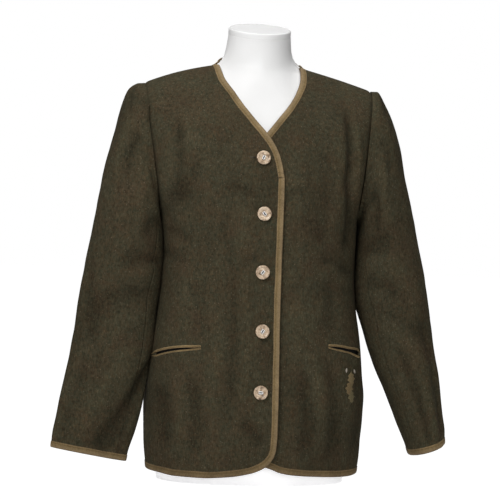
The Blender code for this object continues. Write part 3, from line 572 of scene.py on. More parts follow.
def sleeve_grid(hand, low, high, around, seed):
    """Points of a sleeve piece with folds, their outward normals and the depth of the folds."""
    rows = ring_rows(hand)
    angle = np.linspace(low, high, around + 1)
    k = np.linspace(0.0, 1.0, ALONG + 1)
    t = len(SLEEVE[hand]) * (0.62 * k + 0.38 * k * k)
    A, T = np.meshgrid(angle, t, indexing="ij")
    xo, zo, xi, zi, front, back, yc = (steady(rows, column, T) for column in range(1, 8))
    c = np.cos(np.radians(A))
    s = np.sin(np.radians(A))
    X = (xo + xi) / 2.0 + c * (xo - xi) / 2.0
    Z = (zo + zi) / 2.0 + c * (zo - zi) / 2.0
    Y = yc - np.where(s > 0.0, front, back) * s
    start = smooth(T)
    curved = sway(Z) + SIGN[hand] * (armhole_x(Z) + SLEEVE_CLEAR)
    X = curved * (1.0 - start) + X * start
    P = np.stack([X, Y, Z], axis=2)
    n = normals_of(P)
    out = P - np.stack([(xo + xi) / 2.0, yc, (zo + zi) / 2.0], axis=2)
    n = n * np.sign(np.sum(n * out))
    folds = FOLDS_SLEEVE[hand]
    turned = tuple((a0 + 360.0, b0, a1 + 360.0, b1, w, d) for a0, b0, a1, b1, w, d in folds)
    d = fold_sum(A, T, folds, 1.05, 42.0) + fold_sum(A, T, turned, 1.05, 42.0)
    d = d + uneven(P[..., 0] + 1.4 * P[..., 1], P[..., 2], seed)
    d = d * smooth(T / 0.8)
    # the side that lies on the body has no troughs and lower ridges
    slack = np.minimum(front / 40.0, 1.0)
    inside = smooth((np.abs(A - 180.0)) / 40.0 + 0.25)
    inner = np.exp(-((A - 180.0) / 34.0) ** 2) * smooth((9.5 - T) / 2.0)
    d = np.where(d > 0.0, d * inside, d * (1.0 - inner)) * (0.45 + 0.55 * slack)
    d = d - ARMHOLE_GROOVE * np.exp(-(T / 0.12) ** 2)
    return P + n * d[..., None], n, d


def put(item, **values):
    """Sets inputs of a node, named with _ in place of a space."""
    for key, value in values.items():
        item.inputs[key.replace("_", " ")].default_value = value


def new_material(name, roughness, specular=0.5, coat=0.0):
    mat = bpy.data.materials.new(name)
    mat.use_nodes = True
    tree = mat.node_tree
    shader = tree.nodes["Principled BSDF"]
    put(shader, Roughness=roughness, Specular_IOR_Level=specular, Coat_Weight=coat)
    return mat, tree, shader


def object_place(tree):
    return tree.nodes.new("ShaderNodeTexCoord").outputs["Object"]


def one_axis(tree, source, axis):
    item = tree.nodes.new("ShaderNodeSeparateXYZ")
    tree.links.new(source, item.inputs["Vector"])
    return item.outputs[axis]


def mapped(tree, where, kind, value):
    """Texture place with its scale or its location changed."""
    item = tree.nodes.new("ShaderNodeMapping")
    item.inputs[kind].default_value = value
    tree.links.new(where, item.inputs["Vector"])
    return item.outputs["Vector"]


def noise(tree, where, scale, detail, rough, distort=0.0):
    item = tree.nodes.new("ShaderNodeTexNoise")
    put(item, Scale=scale, Detail=detail, Roughness=rough, Distortion=distort)
    tree.links.new(where, item.inputs["Vector"])
    return item.outputs["Fac"]


def ramp(tree, source, stops):
    item = tree.nodes.new("ShaderNodeValToRGB")
    line = item.color_ramp
    while len(line.elements) < len(stops):
        line.elements.new(0.5)
    for element, (place, color) in zip(line.elements, stops):
        element.position = place
        element.color = (color[0], color[1], color[2], 1.0)
    tree.links.new(source, item.inputs["Fac"])
    return item.outputs["Color"]


def blend(tree, kind, amount, a, b):
    item = tree.nodes.new("ShaderNodeMix")
    item.data_type = "RGBA"
    item.blend_type = kind
    for value, slot in ((amount, item.inputs[0]), (a, item.inputs[6]), (b, item.inputs[7])):
        if hasattr(value, "is_output"):
            tree.links.new(value, slot)
        else:
            slot.default_value = value
    return item.outputs[2]


def tinted(tree, color, source, stops):
    """Colour multiplied by a ramp over a texture."""
    return blend(tree, "MULTIPLY", 1.0, color, ramp(tree, source, stops))


def bump(tree, shader, height, distance, strength, below=None):
    item = tree.nodes.new("ShaderNodeBump")
    put(item, Strength=strength, Distance=distance)
    tree.links.new(height, item.inputs["Height"])
    if below is not None:
        tree.links.new(below, item.inputs["Normal"])
    tree.links.new(item.outputs["Normal"], shader.inputs["Normal"])
    return item.outputs["Normal"]


FIBRE_SCALE = (560.0, 560.0, 120.0)
SPARK_COLOR = (0.150, 0.120, 0.080, 1.0)


def loden_material(name):
    """Milled wool of mixed olive, brown and grey fibres."""
    mat, tree, shader = new_material(name, 1.0, 0.08)
    where = object_place(tree)
    color = ramp(tree, noise(tree, where, 24.0, 5.0, 0.66, 0.5), (
        (0.34, (0.0480, 0.0360, 0.0215)),
        (0.46, (0.0470, 0.0378, 0.0222)),
        (0.56, (0.0425, 0.0375, 0.0226)),
        (0.68, (0.0530, 0.0435, 0.0262)),
    ))
    fleck = noise(tree, where, 190.0, 7.0, 0.78, 0.5)
    color = tinted(tree, color, fleck, (
        (0.34, (0.62, 0.60, 0.56)),
        (0.50, (0.98, 0.99, 0.98)),
        (0.66, (1.36, 1.34, 1.30)),
    ))
    color = tinted(tree, color, noise(tree, where, 300.0, 4.0, 0.7, 0.3), (
        (0.36, (1.12, 0.98, 0.88)),
        (0.50, (1.0, 1.0, 1.0)),
        (0.64, (0.88, 1.02, 1.04)),
    ))
    fibres = noise(tree, mapped(tree, where, "Scale", FIBRE_SCALE), 1.0, 4.0, 0.72)
    color = tinted(tree, color, fibres, (
        (0.32, (0.68, 0.67, 0.65)),
        (0.52, (1.0, 1.0, 1.0)),
        (0.70, (1.42, 1.40, 1.34)),
    ))
    spark = tree.nodes.new("ShaderNodeTexVoronoi")
    put(spark, Scale=150.0, Randomness=1.0)
    tree.links.new(where, spark.inputs["Vector"])
    near = ramp(tree, spark.outputs["Distance"], ((0.06, (0.55, 0.55, 0.55)), (0.16, (0.0, 0.0, 0.0))))
    color = blend(tree, "MIX", near, color, SPARK_COLOR)
    # painted shade in the troughs of the folds and painted light on their ridges, from the depth stored
    # on the cloth
    fold_shade = tree.nodes.new("ShaderNodeAttribute")
    fold_shade.attribute_name = "fold_shade"
    color = tinted(tree, color, fold_shade.outputs["Fac"], (
        (0.14, (0.66, 0.65, 0.64)),
        (0.46, (0.98, 0.98, 0.98)),
        (0.80, (1.16, 1.16, 1.15)),
    ))
    tree.links.new(color, shader.inputs["Base Color"])
    low = bump(tree, shader, fleck, 0.0009, 0.5)
    bump(tree, shader, fibres, 0.0004, 0.5, low)
    return mat


def binding_material(name):
    """Tan tape: paler along its inner edge, with a darker core and soft nap."""
    mat, tree, shader = new_material(name, 0.9, 0.15)
    uv = tree.nodes.new("ShaderNodeUVMap").outputs["UV"]
    color = ramp(tree, one_axis(tree, uv, "Y"), (
        (0.00, (0.140, 0.102, 0.056)),
        (0.09, (0.270, 0.208, 0.128)),
        (0.17, (0.095, 0.067, 0.033)),
        (0.27, (0.200, 0.146, 0.080)),
        (0.46, (0.138, 0.098, 0.044)),
        (0.62, (0.190, 0.140, 0.076)),
        (0.84, (0.222, 0.166, 0.096)),
        (1.00, (0.120, 0.085, 0.046)),
    ))
    where = object_place(tree)
    nap = noise(tree, where, 420.0, 5.0, 0.7)
    color = tinted(tree, color, nap, (
        (0.30, (0.70, 0.68, 0.66)),
        (0.50, (1.0, 1.0, 1.0)),
        (0.70, (1.28, 1.26, 1.22)),
    ))
    color = tinted(tree, color, noise(tree, where, 38.0, 3.0, 0.6), (
        (0.35, (0.84, 0.82, 0.80)),
        (0.65, (1.14, 1.12, 1.10)),
    ))
    # the tape is darker near the hem
    color = tinted(tree, color, one_axis(tree, where, "Z"), (
        (0.020, (0.76, 0.74, 0.70)),
        (0.110, (1.04, 1.03, 1.0)),
    ))
    tree.links.new(color, shader.inputs["Base Color"])
    bump(tree, shader, nap, 0.0005, 0.5)
    return mat


def horn_material(name, seed):
    mat, tree, shader = new_material(name, 0.38, coat=0.15)
    where = mapped(tree, object_place(tree), "Location", (seed * 0.37, seed * 0.21, seed * 0.53))
    color = ramp(tree, noise(tree, where, 105.0, 5.0, 0.62, 1.4), (
        (0.32, (0.085, 0.050, 0.028)),
        (0.42, (0.340, 0.236, 0.150)),
        (0.53, (0.540, 0.408, 0.282)),
        (0.68, (0.740, 0.600, 0.440)),
    ))
    tree.links.new(color, shader.inputs["Base Color"])
    bump(tree, shader, noise(tree, where, 600.0, 3.0, 0.6), 0.0003, 0.35)
    return mat


def thread_material(name, color, scale=900.0):
    mat, tree, shader = new_material(name, 0.85, 0.15)
    grain = noise(tree, object_place(tree), scale, 3.0, 0.6)
    dark = tuple(c * 0.62 for c in color)
    light = tuple(min(c * 1.3, 1.0) for c in color)
    shade = ramp(tree, grain, ((0.32, dark), (0.68, light)))
    tree.links.new(shade, shader.inputs["Base Color"])
    bump(tree, shader, grain, 0.0004, 0.6)
    return mat


def white_material(name, shade=1.0):
    """White of the form, with a faint glow at its foot."""
    mat, tree, shader = new_material(name, 0.5, 0.3)
    where = object_place(tree)
    # a shade below 1 makes a darker copy of the white, used as painted shade on the cap's top
    tone = ramp(tree, noise(tree, where, 9.0, 2.0, 0.5), (
        (0.3, (0.735 * shade, 0.732 * shade, 0.728 * shade)),
        (0.7, (0.785 * shade, 0.782 * shade, 0.776 * shade)),
    ))
    tree.links.new(tone, shader.inputs["Base Color"])
    foot = ((0.030, (0.55, 0.55, 0.56)), (0.075, (0.0, 0.0, 0.0)))
    tree.links.new(ramp(tree, one_axis(tree, where, "Z"), foot), shader.inputs["Emission Color"])
    put(shader, Emission_Strength=1.0)
    return mat


shown = {}
grids = {}


def add_mesh(name, verts, faces, mat, uvs=None):
    mesh = bpy.data.meshes.new(name)
    mesh.from_pydata([(v[0] * MM, v[1] * MM, v[2] * MM) for v in verts], [], faces)
    if uvs is not None:
        store = mesh.uv_layers.new(name="UVMap")
        flat = np.array([uvs[v] for face in faces for v in face], dtype=np.float32)
        store.data.foreach_set("uv", flat.ravel())
    mesh.polygons.foreach_set("use_smooth", [True] * len(mesh.polygons))
    mesh.materials.append(mat)
    mesh.update()
    item = bpy.data.objects.new(name, mesh)
    bpy.context.scene.collection.objects.link(item)
    return item


def stands_for(item, name):
    """Shows an object in place of a piece of the part."""
    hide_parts(name)
    shown[name] = item


def turn_outward(item):
    """Turns the faces of a closed mesh outward."""
    work = bmesh.new()
    work.from_mesh(item.data)
    bmesh.ops.recalc_face_normals(work, faces=work.faces)
    work.to_mesh(item.data)
    work.free()


def grid_faces(count_j, count_k, hole=None):
    faces = []
    for j in range(count_j - 1):
        for k in range(count_k - 1):
            if hole is None or not hole[j, k]:
                a = j * count_k + k
                faces.append((a, a + count_k, a + count_k + 1, a + 1))
    return faces


def band_faces(rings, size, crosswise=False, closed=False):
    """Faces that join rings of equal size, with both ends capped unless closed."""
    faces = []
    for i in range(rings if closed else rings - 1):
        a = i * size
        b = (i + 1) % rings * size
        for m in range(size):
            o = (m + 1) % size
            if crosswise:
                faces.append((a + m, b + m, b + o, a + o))
            else:
                faces.append((a + m, a + o, b + o, b + m))
    if not closed:
        first = tuple(range(size))
        last = tuple((rings - 1) * size + m for m in range(size))
        faces += [first, last[::-1]] if crosswise else [first[::-1], last]
    return faces


def turns(count):
    return [2.0 * math.pi * m / count for m in range(count)]


def lathe(start, axes, profile, widths):
    """Points and faces of a turned piece; the widths make its outline uneven."""
    a, b, c = axes
    count = len(widths)
    verts = [start]
    for radius, rise in profile[1:-1]:
        for t, wide in zip(turns(count), widths):
            verts.append(start + (a * math.cos(t) + b * math.sin(t)) * radius * wide + c * rise)
    verts.append(start + c * profile[-1][1])
    faces = [(0, 1 + (m + 1) % count, 1 + m) for m in range(count)]
    p = 1
    for _ in range(len(profile) - 3):
        for m in range(count):
            o = (m + 1) % count
            faces.append((p + m, p + o, p + count + o, p + count + m))
        p += count
    faces += [(len(verts) - 1, p + m, p + (m + 1) % count) for m in range(count)]
    return verts, faces


def grid_piece(name, P, n, mat, depth, hole=None):
    """Thin shell of cloth on a grid."""
    count_j, count_k = P.shape[:2]
    faces = grid_faces(count_j, count_k, hole)
    j = count_j // 2
    k = count_k // 2
    a = P[j + 1, k] - P[j, k]
    b = P[j, k + 1] - P[j, k]
    if float(np.dot(np.cross(a, b), n[j, k])) < 0.0:
        faces = [f[::-1] for f in faces]
    item = add_mesh(name, P.reshape(-1, 3), faces, mat)
    # the depth of the folds is stored to paint shade in their troughs and light on their ridges
    fold_shade = item.data.attributes.new("fold_shade", "FLOAT", "POINT")
    fold_shade.data.foreach_set("value", (0.5 + depth / FOLD_SPAN).astype(np.float32).ravel())
    thick = item.modifiers.new("thickness", "SOLIDIFY")
    thick.thickness = CLOTH * MM
    thick.offset = 0.0
    thick.use_rim = True
    return item


def tree_of(P):
    return BVHTree.FromPolygons([Vector(v) for v in P.reshape(-1, 3)], grid_faces(*P.shape[:2]))


# Section of a binding: distance in from the edge, height over the middle of the cloth
BINDING_SECTION = (
    (9.6, 0.3), (9.5, 1.35), (8.9, 1.72), (7.6, 1.62), (6.4, 1.82), (4.0, 1.98), (1.6, 2.02),
    (-0.2, 1.85), (-1.1, 1.15), (-1.45, 0.0), (-1.1, -1.15), (-0.2, -1.75), (4.0, -1.8),
    (8.9, -1.6), (9.6, -0.3),
)
BINDING_WIDE = BINDING_SECTION[0][0]
# The tape lies on the cloth from this distance inward
BINDING_LIES = 0.5


def binding_piece(name, P, n, path, inward_hint, ends=None):
    """Rounded tape round an edge of the cloth, which is closed when no ends are given."""
    edge = np.array([P[j, k] for j, k in path])
    normals = np.array([n[j, k] for j, k in path])
    tree = tree_of(P)
    count = len(edge)
    closed = ends is None
    if closed:
        along = np.roll(edge, -1, axis=0) - np.roll(edge, 1, axis=0)
    else:
        along = np.gradient(edge, axis=0)
    inward = np.cross(normals, along)
    inward /= np.maximum(np.linalg.norm(inward, axis=1, keepdims=True), 1e-9)
    if float(np.dot(inward[count // 2], inward_hint)) < 0.0:
        inward = -inward
    for _ in range(4):
        if closed:
            inward = (np.roll(inward, 1, axis=0) + inward + np.roll(inward, -1, axis=0)) / 3.0
        else:
            middle = (inward[:-2] + inward[1:-1] + inward[2:]) / 3.0
            inward = np.concatenate([inward[:1], middle, inward[-1:]])
        inward /= np.linalg.norm(inward, axis=1, keepdims=True)
    if not closed:
        inward[0], inward[-1] = ends
    length = np.concatenate([[0.0], np.cumsum(np.linalg.norm(np.diff(edge, axis=0), axis=1))])
    verts = []
    uvs = []
    for i in range(count):
        here = Vector(edge[i])
        n0 = Vector(normals[i])
        w_dir = Vector(inward[i])
        wobble = 0.25 * math.sin(length[i] / 23.0) + 0.18 * math.sin(length[i] / 9.1 + 1.0)
        for m, (w, h) in enumerate(BINDING_SECTION):
            if w > BINDING_LIES:
                goal = here + w_dir * (w + wobble * w / BINDING_WIDE)
                spot, turned, _, _ = tree.find_nearest(goal)
                if turned.dot(n0) < 0.0:
                    turned = -turned
                point = spot + (turned * 0.6 + n0 * 0.4).normalized() * h
            else:
                point = here + w_dir * w + n0 * h
            verts.append(point)
            uvs.append((length[i] / 10.0, min(m / 8.0, 1.0)))
    faces = band_faces(count, len(BINDING_SECTION), True, closed)
    item = add_mesh(name + "_tape", verts, faces, tan, uvs)
    turn_outward(item)
    stands_for(item, name)


# Cloth pieces
loden_front = loden_material("loden_front")
loden_back = loden_material("loden_back")
loden_sleeve = loden_material("loden_sleeve")
tan = binding_material("binding_tan")


def pocket_share(spec, x):
    """0 at the inner end of a pocket mouth and 1 at its outer end."""
    return (x - spec[0]) / (spec[2] - spec[0])


def pocket_gap(spec, q):
    shut = 0.14 if spec[0] < 0.0 else 0.08
    rows = (
        (0.0, 0.3), (shut, 0.35 * spec[4]), (shut + 0.12, spec[4]),
        (0.6, spec[5]), (0.9, spec[6]), (1.0, 0.6),
    )
    return steady(rows, 1, q)


def pocket_z(spec, q):
    share = 0.40 * q + 0.60 * q ** 4 if spec[0] < 0.0 else 0.62 * q + 0.38 * q ** 3
    return spec[1] + (spec[3] - spec[1]) * share


def mouth_holes(P, spec):
    """Cells of a front that a pocket mouth takes out."""
    C = (P[:-1, :-1] + P[1:, 1:]) / 2.0
    q = pocket_share(spec, C[..., 0])
    off = np.abs(C[..., 2] - pocket_z(spec, q))
    return (q > MOUTH_FROM) & (q < MOUTH_TO) & (off < pocket_gap(spec, q) / 2.0 + MOUTH_ROOM)


def gaping(P, n, spec):
    """The cloth just below a pocket mouth stands out where the mouth is open."""
    q = pocket_share(spec, P[..., 0])
    within = np.clip(q, 0.0, 1.0)
    below = pocket_z(spec, within) - P[..., 2]
    gape = np.where((q > 0.0) & (q < 1.0), pocket_gap(spec, within) - 2.0, 0.0)
    push = np.maximum(gape, 0.0) * np.exp(-(np.maximum(below, 0.0) / 22.0) ** 2) * (below > 0.0)
    return P + n * (push * 0.55)[..., None]


for hand, seed in (("right", 11), ("left", 12)):
    name = "front_" + hand
    P, n, depth = displaced(front_grid(hand), -1, FOLDS[hand], seed)
    P = gaping(P, n, POCKET[hand])
    grids[name] = (P, n)
    item = grid_piece(name + "_cloth", P, n, loden_front, depth, mouth_holes(P, POCKET[hand]))
    stands_for(item, name)

P, n, depth = displaced(back_grid(), 1, FOLDS["back"], 13)
grids["back"] = (P, n)
stands_for(grid_piece("back_cloth", P, n, loden_back, depth), "back")

for hand, seed in (("right", 21), ("left", 22)):
    for piece, low, high, around in (
        ("top", -120.5, 135.4, AROUND_TOP),
        ("under", 134.8, 240.3, AROUND_UNDER),
    ):
        name = piece + "_sleeve_" + hand
        P, n, depth = sleeve_grid(hand, low, high, around, seed)
        grids[name] = (P, n)
        stands_for(grid_piece(name + "_cloth", P, n, loden_sleeve, depth), name)

# Bindings, which meet at the shoulder seams along the slope of the shoulder
OUT_RIGHT = (-1.0, 0.0, -0.29)
OUT_LEFT = (1.0, 0.0, -0.29)
UPWARD = (0.0, 0.0, 1.0)
for hand, out in (("right", OUT_RIGHT), ("left", OUT_LEFT)):
    P, n = grids["front_" + hand]
    last_j = P.shape[0] - 1
    last_k = P.shape[1] - 1
    path = [(j, last_k) for j in range(SIDE_FINE, last_j)]
    path += [(last_j, k) for k in range(last_k, -1, -1)]
    path += [(j, 0) for j in range(last_j - 1, -1, -1)]
    binding_piece("binding_front_" + hand, P, n, path, (SIGN[hand], 0.0, 0.0), (out, UPWARD))

P, n = grids["back"]
path = [(j, 0) for j in range(P.shape[0])]
binding_piece("binding_back_hem", P, n, path, UPWARD, (UPWARD, UPWARD))
path = [(j, P.shape[1] - 1) for j in range(SIDE_FINE, P.shape[0] - SIDE_FINE)]
binding_piece("binding_back_neck", P, n, path, (0.0, 0.0, -1.0), (OUT_RIGHT, OUT_LEFT))

for hand in HANDS:
    top_P, top_n = grids["top_sleeve_" + hand]
    under_P, under_n = grids["under_sleeve_" + hand]
    P = np.concatenate([top_P, under_P[1:-1], top_P[:1]])
    n = np.concatenate([top_n, under_n[1:-1]])
    path = [(j, P.shape[1] - 1) for j in range(P.shape[0] - 1)]
    binding_piece("binding_cuff_" + hand, P, n, path, UPWARD)

# Pocket lips and pocket cloth
trees = {hand: tree_of(grids["front_" + hand][0]) for hand in HANDS}
RAY_START = 40.0


def on_front(hand, x, z):
    """Point on a front and its outward normal."""
    y = float(body_y(np.array(x), np.array(z), -1, hand))
    start = Vector((x, y - RAY_START, z))
    spot, turned, _, _ = trees[hand].ray_cast(start, Vector((0.0, 1.0, 0.0)))
    if spot is None:
        spot, turned, _, _ = trees[hand].find_nearest(Vector((x, y, z)))
    if turned.y > 0.0:
        turned = -turned
    return spot, turned


LIP_STEPS = 46
LIP_ROUND = 8
LIP_UNDER = 0.6
lip_section = []
for m in range(LIP_ROUND + 1):
    a = math.pi * m / LIP_ROUND
    lip_section.append((-math.cos(a) * 0.5 + 0.5, math.sin(a)))


def pocket_lip(hand, part, wide, way):
    """Rolled tape along the upper or lower side of a pocket mouth."""
    spec = POCKET[hand]
    verts = []
    uvs = []
    for i in range(LIP_STEPS + 1):
        q = i / LIP_STEPS
        x = spec[0] + (spec[2] - spec[0]) * q
        gap = float(pocket_gap(spec, q))
        z = float(pocket_z(spec, q)) + way * gap / 2.0
        taper = min(1.0, 0.75 + 8.0 * q, 0.45 + 8.0 * (1.0 - q))
        spot, turned = on_front(hand, x, z + way * (wide * taper + 0.3))
        rise = 0.5 + 0.55 * max(gap - 2.6, 0.0) * (0.8 if way < 0.0 else 0.1)
        for share, high in lip_section:
            off = Vector((0.0, 0.0, way * wide * (share - 1.0) * taper))
            lift = turned * (high * 1.15 + 0.35 + rise * (1.0 - share))
            verts.append(spot + off + lift)
            uvs.append((q * 6.0, 0.25 + 0.5 * share))
        low = spot + Vector((0.0, 0.0, way * wide * -1.0 * taper)) - turned * LIP_UNDER
        verts.append(spot - turned * LIP_UNDER)
        verts.append(low)
        uvs.extend([(q * 6.0, 0.2), (q * 6.0, 0.2)])
    name = "pocket_" + part + "_" + hand
    faces = band_faces(LIP_STEPS + 1, len(lip_section) + 2, True)
    item = add_mesh(name + "_piping", verts, faces, tan, uvs)
    turn_outward(item)
    stands_for(item, name)


# the pocket cloth is near black: painted shade inside the pocket mouths
pocket_shade_cloth = thread_material("pocket_cloth_painted_shade", (0.012, 0.011, 0.010), 500.0)
for hand in HANDS:
    pocket_lip(hand, "upper", 4.3, 1.0)
    pocket_lip(hand, "lower", 3.0, -1.0)
for hand in HANDS:
    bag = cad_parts["pocket_bag_" + hand]
    bag.data.materials.clear()
    bag.data.materials.append(pocket_shade_cloth)

# Buttons
white_thread = thread_material("button_thread", (0.88, 0.86, 0.82), 1500.0)
# near-black material for slits and the eyelet: painted shade in openings
hole_shade = thread_material("button_hole_painted_shade", (0.02, 0.014, 0.010), 900.0)
hole_thread = thread_material("buttonhole_thread", (0.070, 0.058, 0.040), 1200.0)
join_thread_and_shade = thread_material("join_thread_and_shade", (0.090, 0.066, 0.036), 1200.0)
extras = []


def frame_at(turned, spin):
    """Three axes on the cloth, the first turned by some degrees and the last outward."""
    up = Vector((0.0, 0.0, 1.0))
    right = up.cross(turned).normalized() * -1.0
    up = turned.cross(right).normalized()
    if right.x < 0.0:
        right = -right
    if up.z < 0.0:
        up = -up
    c = math.cos(math.radians(spin))
    s = math.sin(math.radians(spin))
    return right * c + up * s, up * c - right * s, turned


def tube(name, points, radius, mat, sides=10, flat=1.0):
    """Round thread through points, with rounded ends."""
    verts = []
    count = len(points)
    for i, here in enumerate(points):
        ahead = points[min(i + 1, count - 1)] - points[max(i - 1, 0)]
        ahead.normalize()
        a = ahead.orthogonal().normalized()
        b = ahead.cross(a)
        size = radius * (0.45 if i in (0, count - 1) else 1.0)
        for t in turns(sides):
            verts.append(here + a * math.cos(t) * size + b * math.sin(t) * size * flat)
    extras.append(add_mesh(name, verts, band_faces(count, sides), mat))


# Outline of a button: radius, height
HORN_PROFILE = (
    (0.0, 0.0), (9.6, 0.0), (10.6, 0.5), (11.4, 1.4), (11.7, 2.4), (11.55, 3.3), (11.0, 4.0),
    (10.2, 4.4), (9.2, 4.4), (8.3, 4.0), (7.6, 3.4), (6.6, 3.0), (5.0, 2.75), (2.5, 2.65), (0.0, 2.6),
)
HORN_SEGMENTS = 64
BUTTON_REACH = 8.0
BUTTON_LIFT = 1.7
for number, (x, z, spin) in enumerate(BUTTONS, start=1):
    title = "button_" + str(number)
    spot, turned = on_front("right", x, z)
    for off in (BUTTON_REACH, -BUTTON_REACH):
        turned = turned + on_front("right", x, z + off)[1]
    turned = turned.normalized()
    start = spot + turned * BUTTON_LIFT
    axes = frame_at(turned, spin)
    a, b, c = axes
    widths = []
    for t in turns(HORN_SEGMENTS):
        widths.append(1.0 + 0.004 * math.sin(3.0 * t + number) + 0.003 * math.sin(5.0 * t))
    verts, faces = lathe(start, axes, HORN_PROFILE, widths)
    horn = add_mesh(title + "_horn", verts, faces, horn_material("horn_" + str(number), number))
    stands_for(horn, title)
    for k, way in enumerate((-1.0, 1.0)):
        points = []
        for m in range(13):
            q = -1.0 + m / 6.0
            side = way * (0.95 + 0.75 * (1.0 - q * q))
            points.append(start + a * (3.9 * q) + b * side + c * (3.0 + 0.75 * (1.0 - q ** 4)))
        tube(title + "_thread_" + str(k), points, 0.95, white_thread, 10, 0.8)
    # a dark thread along the button's slit is painted shade
    slit = [start + a * (2.7 * q) + c * 3.15 for q in (-1.0, -0.6, 0.0, 0.6, 1.0)]
    tube(title + "_slit", slit, 0.85, hole_shade, 8, 0.7)
    # the buttonhole runs out from under the button toward the edge, with a dark thread of painted shade
    # along its slit
    left, right, slit_left, slit_right = BUTTONHOLES[number - 1]
    for part, low, high, radius, rise, mat in (
        ("edge", left, right, 1.2, 1.0, hole_thread),
        ("slit", slit_left, slit_right, 0.7, 1.85, hole_shade),
    ):
        eye = []
        for i in range(13):
            p, turned = on_front("right", x + low + (high - low) * i / 12.0, z + 0.8)
            eye.append(p + turned * rise)
        tube("buttonhole_" + part + "_" + str(number), eye, radius, mat, 8, 0.6)

# Eyelet at the outer end of the lowest buttonhole, a dark disc of painted shade, with a thread round
# most of it
EYELET_SEGMENTS = 18
p, turned = on_front("right", EYELET[0], EYELET[1])
a, b, c = frame_at(turned, 0.0)
ring = [p + turned * 1.35]
for t in turns(EYELET_SEGMENTS):
    ring.append(p + turned * 1.3 + (a * math.cos(t) + b * math.sin(t)) * EYELET[2])
faces = [(0, 1 + m, 1 + (m + 1) % EYELET_SEGMENTS) for m in range(EYELET_SEGMENTS)]
extras.append(add_mesh("buttonhole_eyelet", ring, faces, hole_shade))
loop = []
for m in range(15):
    t = math.radians(-130.0 + 260.0 * m / 14.0)
    loop.append(p + turned * 1.1 + (a * math.cos(t) + b * math.sin(t)) * (EYELET[2] + 0.7))
tube("buttonhole_eyelet_thread", loop, 0.65, hole_thread, 8)

# Join of the front binding: dark threads across the tape, partly thread and partly painted shade of the
# seam
for k, z in enumerate(BINDING_JOIN):
    points = []
    edge_x = float(steady(EDGE_RIGHT, 1, z))
    for m in range(11):
        x = edge_x + 1.0 - 10.4 * m / 10.0
        p, turned = on_front("right", min(x, edge_x - 0.6), z - 0.05 * (x - 22.0))
        points.append(Vector((x, p.y, p.z)) + turned * 1.95)
    tube("binding_join_" + str(k), points, 0.42, join_thread_and_shade, 6, 0.7)

# Oak sprig on the left front
leaf_tan = thread_material("sprig_tan", (0.185, 0.136, 0.068), 1100.0)
leaf_brown = thread_material("sprig_brown", (0.150, 0.106, 0.052), 1100.0)
leaf_green = thread_material("sprig_green", (0.128, 0.104, 0.054), 1100.0)
acorn_pale = thread_material("sprig_pale", (0.33, 0.29, 0.24), 1300.0)


def patch(name, centre, turn, length, width, lobes, mat, rise, bend=0.0):
    """Raised needlework shape on the left front, lobed like an oak leaf."""
    rows = 26
    cols = 9
    verts = []
    c = math.cos(math.radians(turn))
    s = math.sin(math.radians(turn))
    for i in range(rows + 1):
        q = i / rows
        envelope = math.sin(math.pi * q) ** 0.7
        lobed = 0.24 * math.sin(2.0 * math.pi * lobes * q - 0.6) if lobes else 0.0
        half = max(width / 2.0 * envelope * (1.0 + lobed), 0.25)
        for m in range(cols):
            r = -1.0 + 2.0 * m / (cols - 1)
            u = r * half + bend * math.sin(math.pi * q)
            v = (q - 0.5) * length
            spot, turned = on_front("left", centre[0] + u * c - v * s, centre[1] + u * s + v * c)
            dome = 1.0 - 0.75 * abs(r) ** 3
            rib = -0.28 * math.exp(-(r / 0.14) ** 2) if lobes else 0.0
            high = CLOTH / 2.0 - 0.15 + rise * (dome + rib) * min(1.0, 6.0 * min(q, 1.0 - q) + 0.3)
            verts.append(spot + turned * high)
    faces = [(f[0], f[3], f[2], f[1]) for f in grid_faces(rows + 1, cols)]
    extras.append(add_mesh(name, verts, faces, mat))


patch("sprig_leaf_upper", (161.0, 178.0), 7.0, 22.0, 13.0, 3, leaf_tan, 0.7)
patch("sprig_leaf_middle", (157.5, 163.0), -9.0, 22.0, 13.5, 3, leaf_brown, 0.7)
patch("sprig_leaf_lower", (161.5, 148.5), 6.0, 21.0, 11.0, 3, leaf_green, 0.7)
patch("sprig_stem", (159.5, 165.0), -2.0, 54.0, 1.6, 0, leaf_green, 0.9, 1.6)
patch("sprig_acorn_left", (151.0, 192.5), -4.0, 7.6, 3.6, 0, acorn_pale, 0.9)
patch("sprig_acorn_right", (167.5, 190.0), 24.0, 7.6, 3.8, 0, acorn_pale, 0.9)

# Dress form: height, half width, sway, front depth, back depth
FORM = (
    (0, 158, 4, 100, 98),
    (65, 164, 5, 106, 104),
    (133, 165, 6, 108, 106),
    (200, 157, 6, 104, 98),
    (306, 140, 7, 92, 78),
    (386, 146, 6, 101, 84),
    (443, 155, 4, 111, 93),
    (486, 160, 2, 115, 98),
    (546, 167, 0.5, 104.5, 95),
    (596, 173, 0, 88, 88),
    (640, 181, 0, 69, 77),
    (676, 190, 0, 57, 67),
    (706, 190, 0, 47, 61),
    (730, 190, 0, 44, 57),
)
FORM_DROP = 2.35
FORM_NECK_DROP = 3.0
FORM_ARMHOLE = 52.0
FORM_THIN = 2.0
FORM_COUNT = 60
white = white_material("form_white_gloss")


def form_half(z):
    """Half width of the form, which its sloping shoulders cut off."""
    own = float(steady(FORM, 1, z))
    if float(ridge(own)) - FORM_DROP >= z:
        return own
    low = 20.0
    high = own
    for _ in range(40):
        mid = (low + high) / 2.0
        if float(ridge(mid)) - FORM_DROP > z:
            low = mid
        else:
            high = mid
    return low


